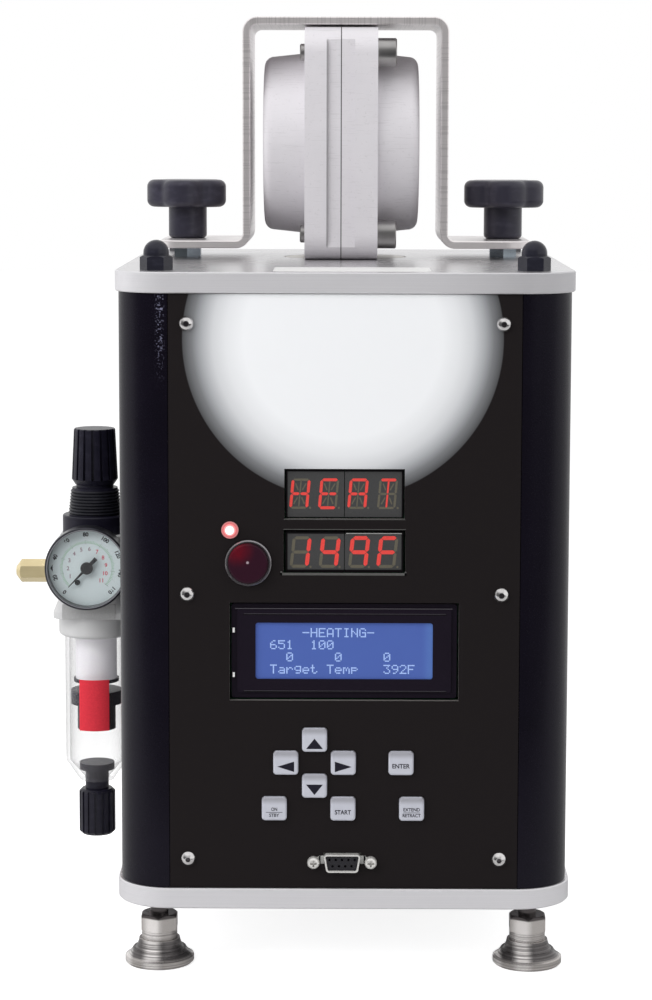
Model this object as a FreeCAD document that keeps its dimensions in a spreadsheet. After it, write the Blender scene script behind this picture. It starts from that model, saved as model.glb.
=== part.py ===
import FreeCAD, Part
import math
import os
import re
import Sketcher

# Denture injection molding machine. Millimetres, +Z up, -Y is the front and -X the side with the
# filter-regulator. The origin lies on the axis of the injection bore, in the top plate's upper face.

SIZES = {
    "Plates and wrap": {
        "plate_width": 200,
        "plate_depth": 240,
        "plate_thick": 9,
        "plate_corner": 24,
        "shell_height": 260,
        "bore_setback": 155,
        "edge_break": 0.5,
        "shell_inset": 1.5,
        "shell_wall": 2,
        "shell_flange": 16,
        "vent_long": 70,
        "vent_tall": 3,
        "vent_step": 8,
        "vent_drop": 90,
        "vent_count": 6,
    },
    "Front panel": {
        "panel_thick": 2.5,
        "panel_gap": 0.3,
        "panel_screw_side": 67.8,
        "panel_screw_drop": 13,
        "panel_screw_dia": 3,
        "panel_screw_head": 6.4,
        "panel_screw_crown": 2.2,
        "panel_screw_long": 10,
        "panel_screw_key": 2,
        "panel_screw_flat": 2.6,
        "panel_screw_brim": 0.55,
        "hole_play": 0.4,
    },
    "Tie rods, nuts and feet": {
        "tie_inset_side": 18.25,
        "tie_inset_front": 20,
        "tie_dia": 12,
        "tie_bore": 30,
        "thread_dia": 8,
        "nut_flats": 12.4,
        "nut_hex": 6.3,
        "nut_crown": 1.2,
        "nut_tall": 13,
        "nut_dome_dia": 11.2,
        "nut_grip": 8,
        "foot_drop": 7.2,
        "foot_flats": 15.6,
        "foot_hex": 7.2,
        "foot_crown": 1.5,
        "foot_ring_dia": 15.8,
        "foot_ring": 4,
        "foot_grip": 36,
        "foot_neck": 10,
        "foot_neck_tall": 6,
        "foot_base_dia": 30.6,
        "foot_base_top": 18,
        "foot_base_tall": 11.1,
        "foot_waist_dia": 21.6,
        "foot_flare": 4.4,
        "foot_rim": 3.2,
        "foot_sole_dia": 28.8,
        "foot_sole": 0.9,
        "foot_waist_step": 0.9,
        "foot_play": 0.1,
    },
    "Clamp": {
        "clamp_span": 151.6,
        "collar_flats": 12.6,
        "collar_tall": 5.2,
        "clamp_stud_tall": 27,
        "bar_thick": 3.6,
        "bar_width": 70,
        "bar_bend": 7,
        "bracket_span": 96.2,
        "bracket_rise": 109.2,
        "bracket_reach": 174.8,
        "bracket_round": 12,
        "knob_dia": 39,
        "knob_head": 13,
        "knob_lobe": 10.5,
        "knob_valley": 4.5,
        "knob_round": 3.4,
        "left_knob_rest": 28,
        "right_knob_rest": 40,
        "knob_hub_dia": 18.3,
        "knob_hub": 15,
        "knob_hub_round": 2,
        "knob_bore": 20,
        "insert_dia": 12,
        "insert_tall": 12,
        "turn_play": 0.15,
    },
    "Flask": {
        "flask_offset": 2,
        "flask_play": 0.2,
        "flask_depth": 90,
        "flask_tall": 107.9,
        "flask_half": 17,
        "flask_corner": 12,
        "belly_dia": 85.5,
        "belly_rise": 19.5,
        "belly_draft": 1.6,
        "belly_round": 4.5,
        "cavity_dia": 72,
        "cavity_deep": 30,
        "sprue_dia": 10,
        "recess_wide": 12.8,
        "recess_deep": 1.6,
        "recess_end": 3.6,
        "flask_screw_head": 13.4,
        "flask_screw_crown": 8.8,
        "flask_screw_key": 6,
        "flask_screw_end": 2.3,
        "flask_screw_deep": 66,
        "flask_screw_tall": 84.4,
    },
    "Barrel, ram and cylinder": {
        "bore_dia": 25.4,
        "barrel_dia": 40,
        "barrel_long": 95,
        "barrel_flange_dia": 58,
        "barrel_flange": 6,
        "seat_play": 0.3,
        "heater_play": 0.1,
        "heater_wall": 4,
        "heater_long": 55,
        "heater_drop": 25,
        "heater_split": 4,
        "heater_lug": 9,
        "heater_lug_thick": 4,
        "ram_play": 0.2,
        "ram_drop": 96,
        "ram_head": 14,
        "rod_dia": 12,
        "piston_tall": 12,
        "cylinder_bore": 63,
        "cylinder_wall": 3.5,
        "cylinder_tall": 128,
        "cylinder_cap": 14,
        "cylinder_square": 76,
        "cylinder_corner": 8,
        "cylinder_rod": 8,
        "cylinder_rod_inset": 8,
        "valve_wide": 22,
        "valve_deep": 30,
        "valve_tall": 40,
        "coil_dia": 20,
        "coil_tall": 28,
        "coil_round": 4,
        "coil_nut_flats": 10,
        "coil_nut": 4,
    },
    "Control board and displays": {
        "board_stand": 11,
        "board_thick": 1.6,
        "board_wide": 112,
        "board_tall": 185,
        "board_drop": 168,
        "board_inset": 6,
        "board_post": 6,
        "switch_side": 6,
        "switch_tall": 4.3,
        "face_recess": 1.6,
        "upper_drop": 95.2,
        "upper_window_wide": 51.8,
        "upper_window_tall": 21.7,
        "upper_module_tall": 20.7,
        "lower_drop": 120.6,
        "lower_window_wide": 52.6,
        "lower_window_tall": 19.4,
        "lower_module_tall": 17.6,
        "module_wide": 25.2,
        "module_seam": 0.3,
        "lcd_drop": 164.1,
        "lcd_window_wide": 99.2,
        "lcd_window_tall": 43,
        "lcd_gap": 0.8,
        "lcd_frame_deep": 8,
        "lcd_card_wide": 98,
        "lcd_card_tall": 56,
        "lcd_card_thick": 1.6,
        "lcd_step": 2.4,
        "lcd_step_deep": 0.8,
        "lcd_inset": 4,
        "glass_wide": 76.8,
        "glass_tall": 24.8,
        "glass_corner": 1.2,
        "glass_recess": 1,
    },
    "Lamps": {
        "led_side": 49.3,
        "led_drop": 110.9,
        "led_dia": 5,
        "led_collar_dia": 7.4,
        "led_collar": 0.8,
        "led_dome": 2.2,
        "pilot_side": 41.4,
        "pilot_drop": 125.2,
        "pilot_ring_dia": 20,
        "pilot_ring": 1.8,
        "pilot_lens_dia": 17.6,
        "pilot_lens_tall": 3.8,
        "pilot_round": 1.2,
        "pilot_seat": 0.8,
        "pilot_body_dia": 15,
        "pilot_body_long": 9,
        "pilot_plug_dia": 11,
        "pilot_plug": 5,
    },
    "Keys and socket": {
        "key_wide": 10.9,
        "key_tall": 10.5,
        "key_corner": 1.6,
        "key_round": 1,
        "key_proud": 1.7,
        "key_play": 0.2,
        "key_lip": 0.5,
        "key_lip_thick": 1,
        "key_stem": 4,
        "key_travel": 0.8,
        "arrow_side": 12.7,
        "arrow_drop": 213,
        "arrow_step_side": 12.5,
        "arrow_step_up": 10.2,
        "enter_side": 24.9,
        "key_row_drop": 233.3,
        "key_row_side": 0.3,
        "key_row_step": 29.9,
        "serial_side": 0.6,
        "serial_drop": 257.3,
        "serial_wide": 16.3,
        "serial_tall": 8,
        "serial_slope": 1.3,
        "serial_proud": 3,
        "serial_wall": 0.7,
        "serial_corner": 1.5,
        "serial_recess": 1.2,
        "serial_flange_wide": 30.8,
        "serial_flange_tall": 12.5,
        "serial_flange": 1,
        "serial_block_wide": 19,
        "serial_block_tall": 10.5,
        "pin_dia": 1.1,
        "pin_step": 2.75,
        "pin_row": 2.84,
        "post_pitch": 25,
        "post_head": 5.4,
        "post_round": 1.9,
        "post_cross": 2.8,
        "post_slot": 0.7,
        "post_proud": 3.4,
        "post_dia": 2.8,
        "post_long": 6,
    },
    "Filter-regulator": {
        "regulator_reach": 25.1,
        "regulator_back": 22,
        "port_drop": 157.2,
        "block_wide": 33,
        "block_deep": 36,
        "block_corner": 8,
        "skirt_wide": 39.4,
        "skirt_corner": 7,
        "skirt_rise": 8.4,
        "skirt_foot": 3,
        "regulator_up": 19.6,
        "regulator_down": 21.2,
        "port_boss_dia": 21,
        "port_span": 42.4,
        "port_deep": 8,
        "collar_dia": 36.6,
        "collar_height": 10.4,
        "collar_round": 2,
        "chamber_dia": 26.8,
        "chamber_up": 3,
        "bowl_grip": 6,
        "bowl_dia": 30.8,
        "bowl_wall": 2,
        "bowl_tall": 63.6,
        "bowl_cone": 10.2,
        "bowl_neck_dia": 17,
        "element_dia": 20.5,
        "element_bore": 12.4,
        "element_tall": 22.2,
        "baffle_disc": 1.6,
        "baffle_disc_dia": 22.5,
        "baffle_dia": 25.4,
        "baffle_drop": 6,
        "baffle_rim": 6.8,
        "baffle_sleeve_dia": 19,
        "baffle_tall": 25.6,
        "baffle_stem": 12,
        "drain_dia": 18,
        "drain_tall": 23,
        "drain_gap": 4.6,
        "drain_stem": 11.6,
        "drain_stem_tall": 8.6,
        "drain_flange_dia": 17.4,
        "drain_flange": 3.4,
        "drain_round": 1.5,
        "drain_ribs": 16,
        "bonnet_dia": 32,
        "bonnet_flange": 9,
        "bonnet_neck_dia": 25,
        "bonnet_top_dia": 22.4,
        "bonnet_neck": 13.4,
        "bonnet_lip_dia": 18.4,
        "bonnet_lip": 1.6,
        "stem_dia": 8,
        "stem_down": 30,
        "stem_up": 14,
        "stem_flats": 7,
        "pull_knob_dia": 22.8,
        "pull_knob_top": 20.4,
        "pull_knob_foot": 19.2,
        "pull_knob_tall": 27.7,
        "pull_knob_chamfer": 2.7,
        "pull_knob_ribs": 16,
        "rib_wide": 1.3,
        "rib_deep": 0.7,
        "nipple_dia": 12,
        "nipple_bore": 6,
        "nipple_collar_dia": 17,
        "nipple_collar": 1.6,
        "nipple_inside": 14,
        "inlet_flats": 10,
        "inlet_long": 18,
        "inlet_nose": 2.6,
        "inlet_tip_dia": 4.6,
        "inlet_bore": 3.4,
        "inlet_thread_dia": 9.6,
        "slide_play": 0.3,
    },
    "Gauge": {
        "gauge_side": 1.7,
        "gauge_up": 5.7,
        "gauge_stand": 1.5,
        "gauge_dia": 40.5,
        "gauge_deep": 12,
        "gauge_rim": 1.4,
        "gauge_well": 5,
        "gauge_lens": 1.4,
        "gauge_lip": 0.4,
        "gauge_stem_dia": 10,
        "gauge_stem": 7,
        "pin_side": 4.7,
        "pin_down": 7.2,
        "pin_tall": 1.4,
        "stop_dia": 2.6,
        "pivot_dia": 1.4,
        "pointer_rise": 1.8,
        "pointer_long": 13,
        "pointer_wide": 1.5,
        "pointer_tip": 0.3,
        "pointer_tail": 6.6,
        "pointer_tail_wide": 2,
        "pointer_hub": 6,
        "pointer_thick": 0.7,
        "pointer_hub_thick": 1.05,
        "pointer_zero": 226,
    },
    "Mains inlet": {
        "entry_side": 48,
        "entry_drop": 225,
        "entry_wide": 28,
        "entry_tall": 47.5,
        "entry_lip": 1.8,
        "entry_flange": 2.5,
        "entry_corner": 3,
        "entry_deep": 26,
        "socket_wide": 24.4,
        "socket_tall": 16.6,
        "socket_cut": 4,
        "socket_deep": 16,
        "socket_down": 11.5,
        "blade_wide": 2,
        "blade_tall": 4,
        "blade_long": 11,
        "blade_step": 7,
        "blade_shift": 2,
        "rocker_wide": 22,
        "rocker_tall": 14.4,
        "rocker_up": 13,
        "rocker_play": 0.6,
        "rocker_well": 10,
        "rocker_ends": 4.6,
        "rocker_waist": 2.8,
        "rocker_sides": 1.5,
        "rocker_belly": 5.5,
        "rocker_foot": 9,
        "rocker_pivot": 2.4,
        "rocker_pin": 2.2,
        "rocker_journal": 1.4,
        "rocker_tilt": 9,
    },
}

ALIASES = {name for group in SIZES.values() for name in group}

doc = FreeCAD.newDocument("InjectionMachine")
sheet = doc.addObject("Spreadsheet::Sheet", "Sizes")
row = 1
for heading, group in SIZES.items():
    sheet.set("A%d" % row, heading)
    row += 1
    for name, number in group.items():
        sheet.set("A%d" % row, name.replace("_", " "))
        sheet.set("B%d" % row, str(number))
        sheet.setAlias("B%d" % row, name)
        row += 1
doc.recompute()


# Formulas of size names

def linked(formula):
    """Writes a formula of size names the way the document's objects read it."""
    return re.sub(
        r"[a-z][a-z_]*",
        lambda word: "Sizes." + word[0] if word[0] in ALIASES else word[0],
        str(formula),
    )


def value(formula):
    """Works a formula out as a plain number."""
    return float(sheet.evalExpression(linked(formula)))


def half(formula):
    return "((%s) / 2)" % formula


def minus(formula):
    return "(-(%s))" % formula


# Heights and depths that several pieces share
PLATE_UNDER = "(-plate_thick)"
BASE_TOP = "(-plate_thick - shell_height)"
BASE_UNDER = "(-2 * plate_thick - shell_height)"
PLATE_MID_Y = "(plate_depth / 2 - bore_setback)"
PANEL_FRONT = "(-bore_setback + shell_inset)"
PANEL_BACK = "(-bore_setback + shell_inset + panel_thick)"
BOARD_FRONT = "(-bore_setback + shell_inset + panel_thick + board_stand)"
SHELL_SIDE = "(plate_width / 2 - shell_inset)"
SHELL_BACK = "(plate_depth - bore_setback - shell_inset)"
PANEL_HALF = "(plate_width / 2 - plate_corner - panel_gap)"
TIE_SPAN_X = "(plate_width - 2 * tie_inset_side)"
TIE_SPAN_Y = "(plate_depth - 2 * tie_inset_front)"
STRAP_FOOT_TOP = "(collar_tall + bar_thick)"
FOOT_HEX_TOP = "(-2 * plate_thick - shell_height - foot_drop)"
BARREL_HOLE = "(barrel_dia + 2 * seat_play)"
RAM_RADIUS = "(bore_dia / 2 - ram_play)"
PISTON_RADIUS = "(cylinder_bore / 2 - seat_play)"
PISTON_FLOOR = "(-plate_thick - shell_height + cylinder_cap + seat_play)"
FLASK_MID = "(flask_play + flask_tall / 2)"
REGULATOR_X = "(-plate_width / 2 + shell_inset - regulator_reach)"
REGULATOR_FACE = "(regulator_back - block_deep / 2)"
BONNET_LOW = "(regulator_up - port_drop)"
KNOB_LOW = "(regulator_up - port_drop + bonnet_flange + bonnet_neck + bonnet_lip)"
CHAMBER_TOP = "(chamber_up - regulator_down)"
BOWL_TOP = "(bowl_grip - port_drop - regulator_down - collar_height)"
ELEMENT_LOW = "(-port_drop - regulator_down - collar_height - element_tall)"
CLEAR_HOLE = "(thread_dia + hole_play)"

# Where each key stands on the panel, across and up
KEY_PLACES = {
    "up_key": ("-arrow_side", "arrow_step_up - arrow_drop"),
    "down_key": ("-arrow_side", "-arrow_step_up - arrow_drop"),
    "left_key": ("-arrow_side - arrow_step_side", "-arrow_drop"),
    "right_key": ("arrow_step_side - arrow_side", "-arrow_drop"),
    "enter_key": ("enter_side", "-arrow_drop"),
    "standby_key": ("-key_row_side - key_row_step", "-key_row_drop"),
    "start_key": ("-key_row_side", "-key_row_drop"),
    "extend_key": ("key_row_step - key_row_side", "-key_row_drop"),
}

# A body drawn in front view: x to the right, y up, z towards the viewer
FROM_FRONT = FreeCAD.Rotation(FreeCAD.Vector(1, 0, 0), 90)
FROM_BACK = FreeCAD.Rotation(FreeCAD.Vector(0, 0, 1), 180).multiply(FROM_FRONT)
FROM_LEFT = FreeCAD.Rotation(FreeCAD.Vector(0, 0, 1), -90).multiply(FROM_FRONT)
FROM_RIGHT = FreeCAD.Rotation(FreeCAD.Vector(0, 0, 1), 90).multiply(FROM_FRONT)
UPRIGHT = FreeCAD.Rotation()


# Document helpers

def new_body(label, x="0", y="0", z="0", turn=UPRIGHT):
    """Starts a piece whose own origin stands at the place that the three formulas give."""
    body = doc.addObject("PartDesign::Body", "".join(part.title() for part in label.split("_")))
    body.Label = label
    body.Placement = FreeCAD.Placement(FreeCAD.Vector(value(x), value(y), value(z)), turn)
    for axis, formula in zip("xyz", (x, y, z)):
        body.setExpression("Placement.Base." + axis, linked(formula))
    return body


def origin_feature(body, role):
    return next(feature for feature in body.Origin.OriginFeatures if feature.Role == role)


def new_sketch(body, plane="XY_Plane", offset="0"):
    """Puts an empty sketch on one of the body's own planes, moved along the plane's normal."""
    sketch = body.newObject("Sketcher::SketchObject", body.Name + "Sketch")
    sketch.AttachmentSupport = [(origin_feature(body, plane), "")]
    sketch.MapMode = "FlatFace"
    sketch.setExpression("AttachmentOffset.Base.z", linked(offset))
    return sketch


def hold(sketch, kind, formula, *points):
    """Adds one driven dimension to a sketch."""
    number = value(formula)
    index = sketch.addConstraint(Sketcher.Constraint(kind, *points, number))
    name = "%s%d" % (kind.lower(), index)
    sketch.renameConstraint(index, name)
    sketch.setExpression("Constraints." + name, linked(formula))


def sketch_turn(sketch, formula):
    """Turns a whole sketch in its plane by an angle in degrees."""
    base = sketch.AttachmentOffset.Base
    turn = FreeCAD.Rotation(FreeCAD.Vector(0, 0, 1), value(formula))
    sketch.AttachmentOffset = FreeCAD.Placement(base, turn)
    sketch.setExpression("AttachmentOffset.Rotation.Angle", linked(formula))


def mirrored(run):
    """Adds the left-hand image of a right-hand run of corners, in drawing order."""
    image = [(minus(corner[0]), corner[1]) for corner in reversed(run)]
    arcs = [corner[2:] for corner in reversed(run[:-1])] + [()]
    return run + [corner + arc for corner, arc in zip(image, arcs)]


def side_curve(start, end, radius):
    """The straight or round side between two corners. A positive radius turns left on the way."""
    if radius == 0:
        return Part.LineSegment(start, end), 1, 2
    chord = end - start
    rise = math.sqrt(max(radius * radius - chord.Length ** 2 / 4, 0))
    across = FreeCAD.Vector(-chord.y, chord.x, 0).normalize()
    centre = (start + end) / 2 + across * (rise if radius > 0 else -rise)
    first, last = (start, end) if radius > 0 else (end, start)
    angles = [math.atan2(point.y - centre.y, point.x - centre.x) for point in (first, last)]
    if angles[1] <= angles[0]:
        angles[1] += 2 * math.pi
    circle = Part.Circle(centre, FreeCAD.Vector(0, 0, 1), abs(radius))
    ends = (1, 2) if radius > 0 else (2, 1)
    return (Part.ArcOfCircle(circle, *angles),) + ends


def outline(sketch, corners):
    """Closes an outline through corners (x, y) or (x, y, radius of the side that follows)."""
    points = [FreeCAD.Vector(value(corner[0]), value(corner[1]), 0) for corner in corners]
    sides = []
    for index, corner in enumerate(corners):
        radius = value(corner[2]) if len(corner) > 2 else 0
        curve, start, end = side_curve(points[index], points[(index + 1) % len(points)], radius)
        sides.append((sketch.addGeometry(curve, False), start, end))
    for index, corner in enumerate(corners):
        before, (side, start, _) = sides[index - 1], sides[index]
        sketch.addConstraint(Sketcher.Constraint("Coincident", before[0], before[2], side, start))
        hold(sketch, "DistanceX", corner[0], -1, 1, side, start)
        hold(sketch, "DistanceY", corner[1], -1, 1, side, start)
        if len(corner) > 2:
            hold(sketch, "Radius", "abs(%s)" % corner[2], side)


def box_outline(sketch, wide, tall, x="0", y="0", corner=None):
    """A rectangle about its middle, square or with round corners."""
    left, right = ("(%s - (%s) / 2)" % (x, wide), "(%s + (%s) / 2)" % (x, wide))
    low, high = ("(%s - (%s) / 2)" % (y, tall), "(%s + (%s) / 2)" % (y, tall))
    if corner is None:
        outline(sketch, [(left, low), (right, low), (right, high), (left, high)])
        return
    corner = "(%s)" % corner
    outline(sketch, [
        (left + " + " + corner, low), (right + " - " + corner, low, corner),
        (right, low + " + " + corner), (right, high + " - " + corner, corner),
        (right + " - " + corner, high), (left + " + " + corner, high, corner),
        (left, high + " - " + corner), (left, low + " + " + corner, corner),
    ])


def round_outline(sketch, diameter, x="0", y="0"):
    centre = FreeCAD.Vector(value(x), value(y), 0)
    circle = Part.Circle(centre, FreeCAD.Vector(0, 0, 1), value(diameter) / 2)
    index = sketch.addGeometry(circle, False)
    hold(sketch, "DistanceX", x, -1, 1, index, 3)
    hold(sketch, "DistanceY", y, -1, 1, index, 3)
    hold(sketch, "Diameter", diameter, index)


def dome_radius(width, rise):
    """The radius of a ball's cap of a given width and rise."""
    return "(((%s)^2 / 4 + (%s)^2) / (2 * %s))" % (width, rise, rise)


def hex_outline(sketch, flats, x="0", y="0", turn=0):
    """A hexagon given by its width across flats."""
    outline(sketch, [
        ("%s + (%s) / sqrt(3) * cos(%d)" % (x, flats, turn + 60 * k),
         "%s + (%s) / sqrt(3) * sin(%d)" % (y, flats, turn + 60 * k))
        for k in range(6)
    ])


def cross_outline(sketch, long, wide, x="0", y="0"):
    """An upright cross of two equal bars."""
    reach, edge = "(%s) / 2" % long, "(%s) / 2" % wide
    quarter = [(edge, edge), (edge, reach), (minus(edge), reach)]
    corners = []
    for _ in range(4):
        corners += quarter
        quarter = [(minus(up), across) for across, up in quarter]
    outline(sketch, [("%s + %s" % (x, across), "%s + %s" % (y, up)) for across, up in corners])


def add_feature(body, kind, **settings):
    """Adds a feature at the body's tip. A text setting is a formula, anything else a plain value."""
    feature = body.newObject("PartDesign::" + kind, body.Name + kind)
    for name, setting in settings.items():
        if isinstance(setting, str) and name not in ("Type", "SideType", "TransformMode"):
            feature.setExpression(name, linked(setting))
        else:
            setattr(feature, name, setting)
    body.Tip = feature
    doc.recompute()
    return feature


def pad(body, sketch, length, both_ways=False, downward=False):
    side = "Symmetric" if both_ways else "One side"
    return add_feature(body, "Pad", Profile=(sketch, [""]), SideType=side, Reversed=downward,
                       Length=length)


def checked_cut(body, kind, **settings):
    before = body.Shape.Volume
    feature = add_feature(body, kind, **settings)
    if not body.Shape.Volume < before - 1e-4:
        raise ValueError(body.Label + ": a cut took nothing away")
    return feature


def pocket(body, sketch, length=None, upward=False):
    """Cuts down from the sketch by a length, or right through both ways where none is given."""
    if length is None:
        return checked_cut(body, "Pocket", Profile=(sketch, [""]), Type="ThroughAll",
                           SideType="Symmetric")
    return checked_cut(body, "Pocket", Profile=(sketch, [""]), Reversed=upward, Length=length)


def revolve(body, sketch, axis="V_Axis"):
    return add_feature(body, "Revolution", Profile=(sketch, [""]), ReferenceAxis=(sketch, [axis]),
                       Angle=360.0)


def groove(body, sketch, axis="V_Axis"):
    return checked_cut(body, "Groove", Profile=(sketch, [""]), ReferenceAxis=(sketch, [axis]),
                       Angle=360.0)


def repeat(body, role, length, count, role_two=None, length_two="0", count_two=1):
    """Repeats the whole piece along one or two of its own axes."""
    settings = {}
    if role_two:
        settings = {"Direction2": (origin_feature(body, role_two), [""]), "Length2": length_two,
                    "Occurrences2": count_two}
    return add_feature(body, "LinearPattern", TransformMode="Whole shape", Length=length,
                       Direction=(origin_feature(body, role), [""]), Occurrences=count, **settings)


def ring_repeat(body, features, count):
    """Repeats cuts or pads round the body's own Z axis."""
    return add_feature(body, "PolarPattern", Originals=features, Angle=360.0, Occurrences=count,
                       Axis=(origin_feature(body, "Z_Axis"), [""]))


def soften(body, kind, size, wanted):
    """Rounds or chamfers the edges that the test picks on the body's tip."""
    base = body.Tip
    names = ["Edge%d" % (k + 1) for k, edge in enumerate(base.Shape.Edges) if wanted(edge)]
    if not names:
        raise ValueError(body.Label + ": no edge to soften")
    setting = {"Radius": size} if kind == "Fillet" else {"Size": size}
    return add_feature(body, kind, Base=(base, names), **setting)


def at_level(*formulas):
    """Picks the edges that lie flat at one of some heights of the body's own frame."""
    levels = [value(formula) for formula in formulas]
    return lambda edge: any(
        max(abs(edge.BoundBox.ZMin - level), abs(edge.BoundBox.ZMax - level)) < 1e-4
        for level in levels)


def upright(height):
    """Picks the edges that stand upright in the body's own frame and have one height."""
    tall = value(height)
    return lambda edge: (abs(edge.BoundBox.ZLength - tall) < 1e-4
                         and edge.BoundBox.XLength + edge.BoundBox.YLength < 1e-4)


def turned(label, corners, x="0", y="0", z="0", turn=UPRIGHT):
    """A lathe-turned piece from its half section, radius across and height up."""
    body = new_body(label, x, y, z, turn)
    sketch = new_sketch(body, "XZ_Plane")
    outline(sketch, corners)
    revolve(body, sketch)
    return body


# Plates, wrap and panel

def make_plate(label, level):
    """A plate with round corners, broken edges and a hole for each tie rod's thread."""
    body = new_body(label, y=PLATE_MID_Y, z=level)
    sketch = new_sketch(body)
    box_outline(sketch, "plate_width", "plate_depth", corner="plate_corner")
    pad(body, sketch, "plate_thick")
    soften(body, "Chamfer", "edge_break", at_level("0", "plate_thick"))
    holes = new_sketch(body)
    for side in (-1, 1):
        for end in (-1, 1):
            round_outline(holes, CLEAR_HOLE, "%d * %s / 2" % (side, TIE_SPAN_X),
                          "%d * %s / 2" % (end, TIE_SPAN_Y))
    pocket(body, holes)
    return body


def make_top_plate():
    """The working surface, counterbored for the barrel and drilled for the clamp studs."""
    body = make_plate("top_plate", PLATE_UNDER)
    holes = new_sketch(body)
    for side in (-1, 1):
        round_outline(holes, CLEAR_HOLE, "%d * clamp_span / 2" % side, minus(PLATE_MID_Y))
    round_outline(holes, BARREL_HOLE, "0", minus(PLATE_MID_Y))
    pocket(body, holes)
    seat = new_sketch(body, offset="plate_thick")
    round_outline(seat, "barrel_flange_dia + 2 * seat_play", "0", minus(PLATE_MID_Y))
    pocket(body, seat, "barrel_flange")


def make_shell():
    """One bent sheet round the back, the sides and the corners, stepped back behind the panel."""
    body = new_body("body_shell", y=PLATE_MID_Y, z=BASE_TOP)
    deep = "(plate_depth / 2 - shell_inset)"
    bend = "(plate_corner - shell_inset)"
    inner_bend = "(plate_corner - shell_inset - shell_wall)"
    front_flat = "(plate_width / 2 - plate_corner)"
    step = "(%s + shell_wall)" % front_flat
    step_y = "(%s - %s - sqrt(%s^2 - shell_wall^2))" % (bend, deep, inner_bend)
    flange_end = "(%s - shell_flange)" % front_flat
    flange_front = "(panel_thick - %s)" % deep
    flange_back = "(panel_thick + shell_wall - %s)" % deep
    straight = "(%s - %s)" % (deep, bend)
    sketch = new_sketch(body)
    outline(sketch, mirrored([
        ("%s - %s" % (SHELL_SIDE, bend), "%s - shell_wall" % deep, "-" + inner_bend),
        ("%s - shell_wall" % SHELL_SIDE, straight),
        ("%s - shell_wall" % SHELL_SIDE, minus(straight), "-" + inner_bend),
        (step, step_y), (step, flange_back), (flange_end, flange_back),
        (flange_end, flange_front), (front_flat, flange_front), (front_flat, minus(deep), bend),
        (SHELL_SIDE, minus(straight)), (SHELL_SIDE, straight, bend),
        ("%s - %s" % (SHELL_SIDE, bend), deep),
    ]))
    pad(body, sketch, "shell_height")
    cut_shell_holes(body, deep)


def cut_shell_holes(body, deep):
    """Screw holes in the flanges, the air port on the left, the vents and the mains opening."""
    level = "shell_height + plate_thick"
    screws = new_sketch(body, "XZ_Plane", deep)
    for side in (-1, 1):
        for step in range(3):
            round_outline(screws, "panel_screw_dia + hole_play", "%d * panel_screw_side" % side,
                          "panel_screw_drop + %d * (shell_height / 2 - panel_screw_drop)" % step)
    pocket(body, screws, "panel_thick + 2 * shell_wall")
    port = new_sketch(body, "YZ_Plane", minus(SHELL_SIDE))
    round_outline(port, "nipple_dia + hole_play", "regulator_back - %s" % PLATE_MID_Y,
                  "%s - port_drop" % level)
    pocket(body, port, "2 * shell_wall", upward=True)
    mains = new_sketch(body, "XZ_Plane", minus(deep))
    box_outline(mains, "entry_wide + hole_play", "entry_tall + hole_play", "entry_side",
                "%s - entry_drop" % level)
    pocket(body, mains, "2 * shell_wall", upward=True)
    vent = new_sketch(body, "XZ_Plane", minus(deep))
    box_outline(vent, "vent_long", "vent_tall", "0", "%s - vent_drop" % level, "vent_tall / 3")
    slot = pocket(body, vent, "2 * shell_wall", upward=True)
    add_feature(body, "LinearPattern", Originals=[slot], Occurrences="vent_count",
                Length="(vent_count - 1) * vent_step",
                Direction=(origin_feature(body, "Z_Axis"), [""]))


def make_panel():
    """The front panel with the windows of the displays, lamps, keys and socket."""
    body = new_body("front_panel", y=PANEL_BACK, turn=FROM_FRONT)
    sketch = new_sketch(body)
    box_outline(sketch, "2 * %s" % PANEL_HALF, "shell_height - 2 * panel_gap",
                y="-plate_thick - shell_height / 2")
    pad(body, sketch, "panel_thick")
    windows = new_sketch(body)
    box_outline(windows, "upper_window_wide", "upper_window_tall", y="-upper_drop")
    box_outline(windows, "lower_window_wide", "lower_window_tall", y="-lower_drop")
    box_outline(windows, "lcd_window_wide", "lcd_window_tall", y="-lcd_drop")
    round_outline(windows, "led_dia + hole_play", "-led_side", "-led_drop")
    round_outline(windows, "pilot_body_dia + hole_play", "-pilot_side", "-pilot_drop")
    pocket(body, windows)
    keys = new_sketch(body)
    for x, z in KEY_PLACES.values():
        box_outline(keys, "key_wide + 2 * key_play", "key_tall + 2 * key_play", x, z,
                    "key_corner + key_play")
    pocket(body, keys)
    socket = new_sketch(body)
    serial_outline(socket, "hole_play / 2", "-serial_side", "-serial_drop")
    for side in (-1, 1):
        round_outline(socket, "post_dia + hole_play", "%d * post_pitch / 2 - serial_side" % side,
                      "-serial_drop")
    pocket(body, socket)
    screws = new_sketch(body)
    for side in (-1, 1):
        for step in (-1, 0, 1):
            round_outline(screws, "panel_screw_dia + hole_play", "%d * panel_screw_side" % side,
                          "%d * (shell_height / 2 - panel_screw_drop) - plate_thick - shell_height / 2"
                          % step)
    pocket(body, screws)


def make_panel_screws():
    """Button-head socket screws, three up each side."""
    lowest = "panel_screw_drop - plate_thick - shell_height"
    body = turned("panel_screws", [
        ("0", "-panel_screw_long"), ("panel_screw_dia / 2", "-panel_screw_long"),
        ("panel_screw_dia / 2", "0"), ("panel_screw_head / 2", "0"),
        ("panel_screw_head / 2", "panel_screw_brim", "panel_screw_head / 2 + panel_screw_brim"),
        ("panel_screw_flat / 2", "panel_screw_crown"), ("0", "panel_screw_crown"),
    ], "-panel_screw_side", PANEL_FRONT, lowest, FROM_FRONT)
    key = new_sketch(body, offset="panel_screw_crown")
    hex_outline(key, "panel_screw_key")
    pocket(body, key, "panel_screw_crown / 2")
    repeat(body, "X_Axis", "2 * panel_screw_side", 2,
           "Y_Axis", "shell_height - 2 * panel_screw_drop", 3)


# Tie rods, nuts and feet

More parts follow.
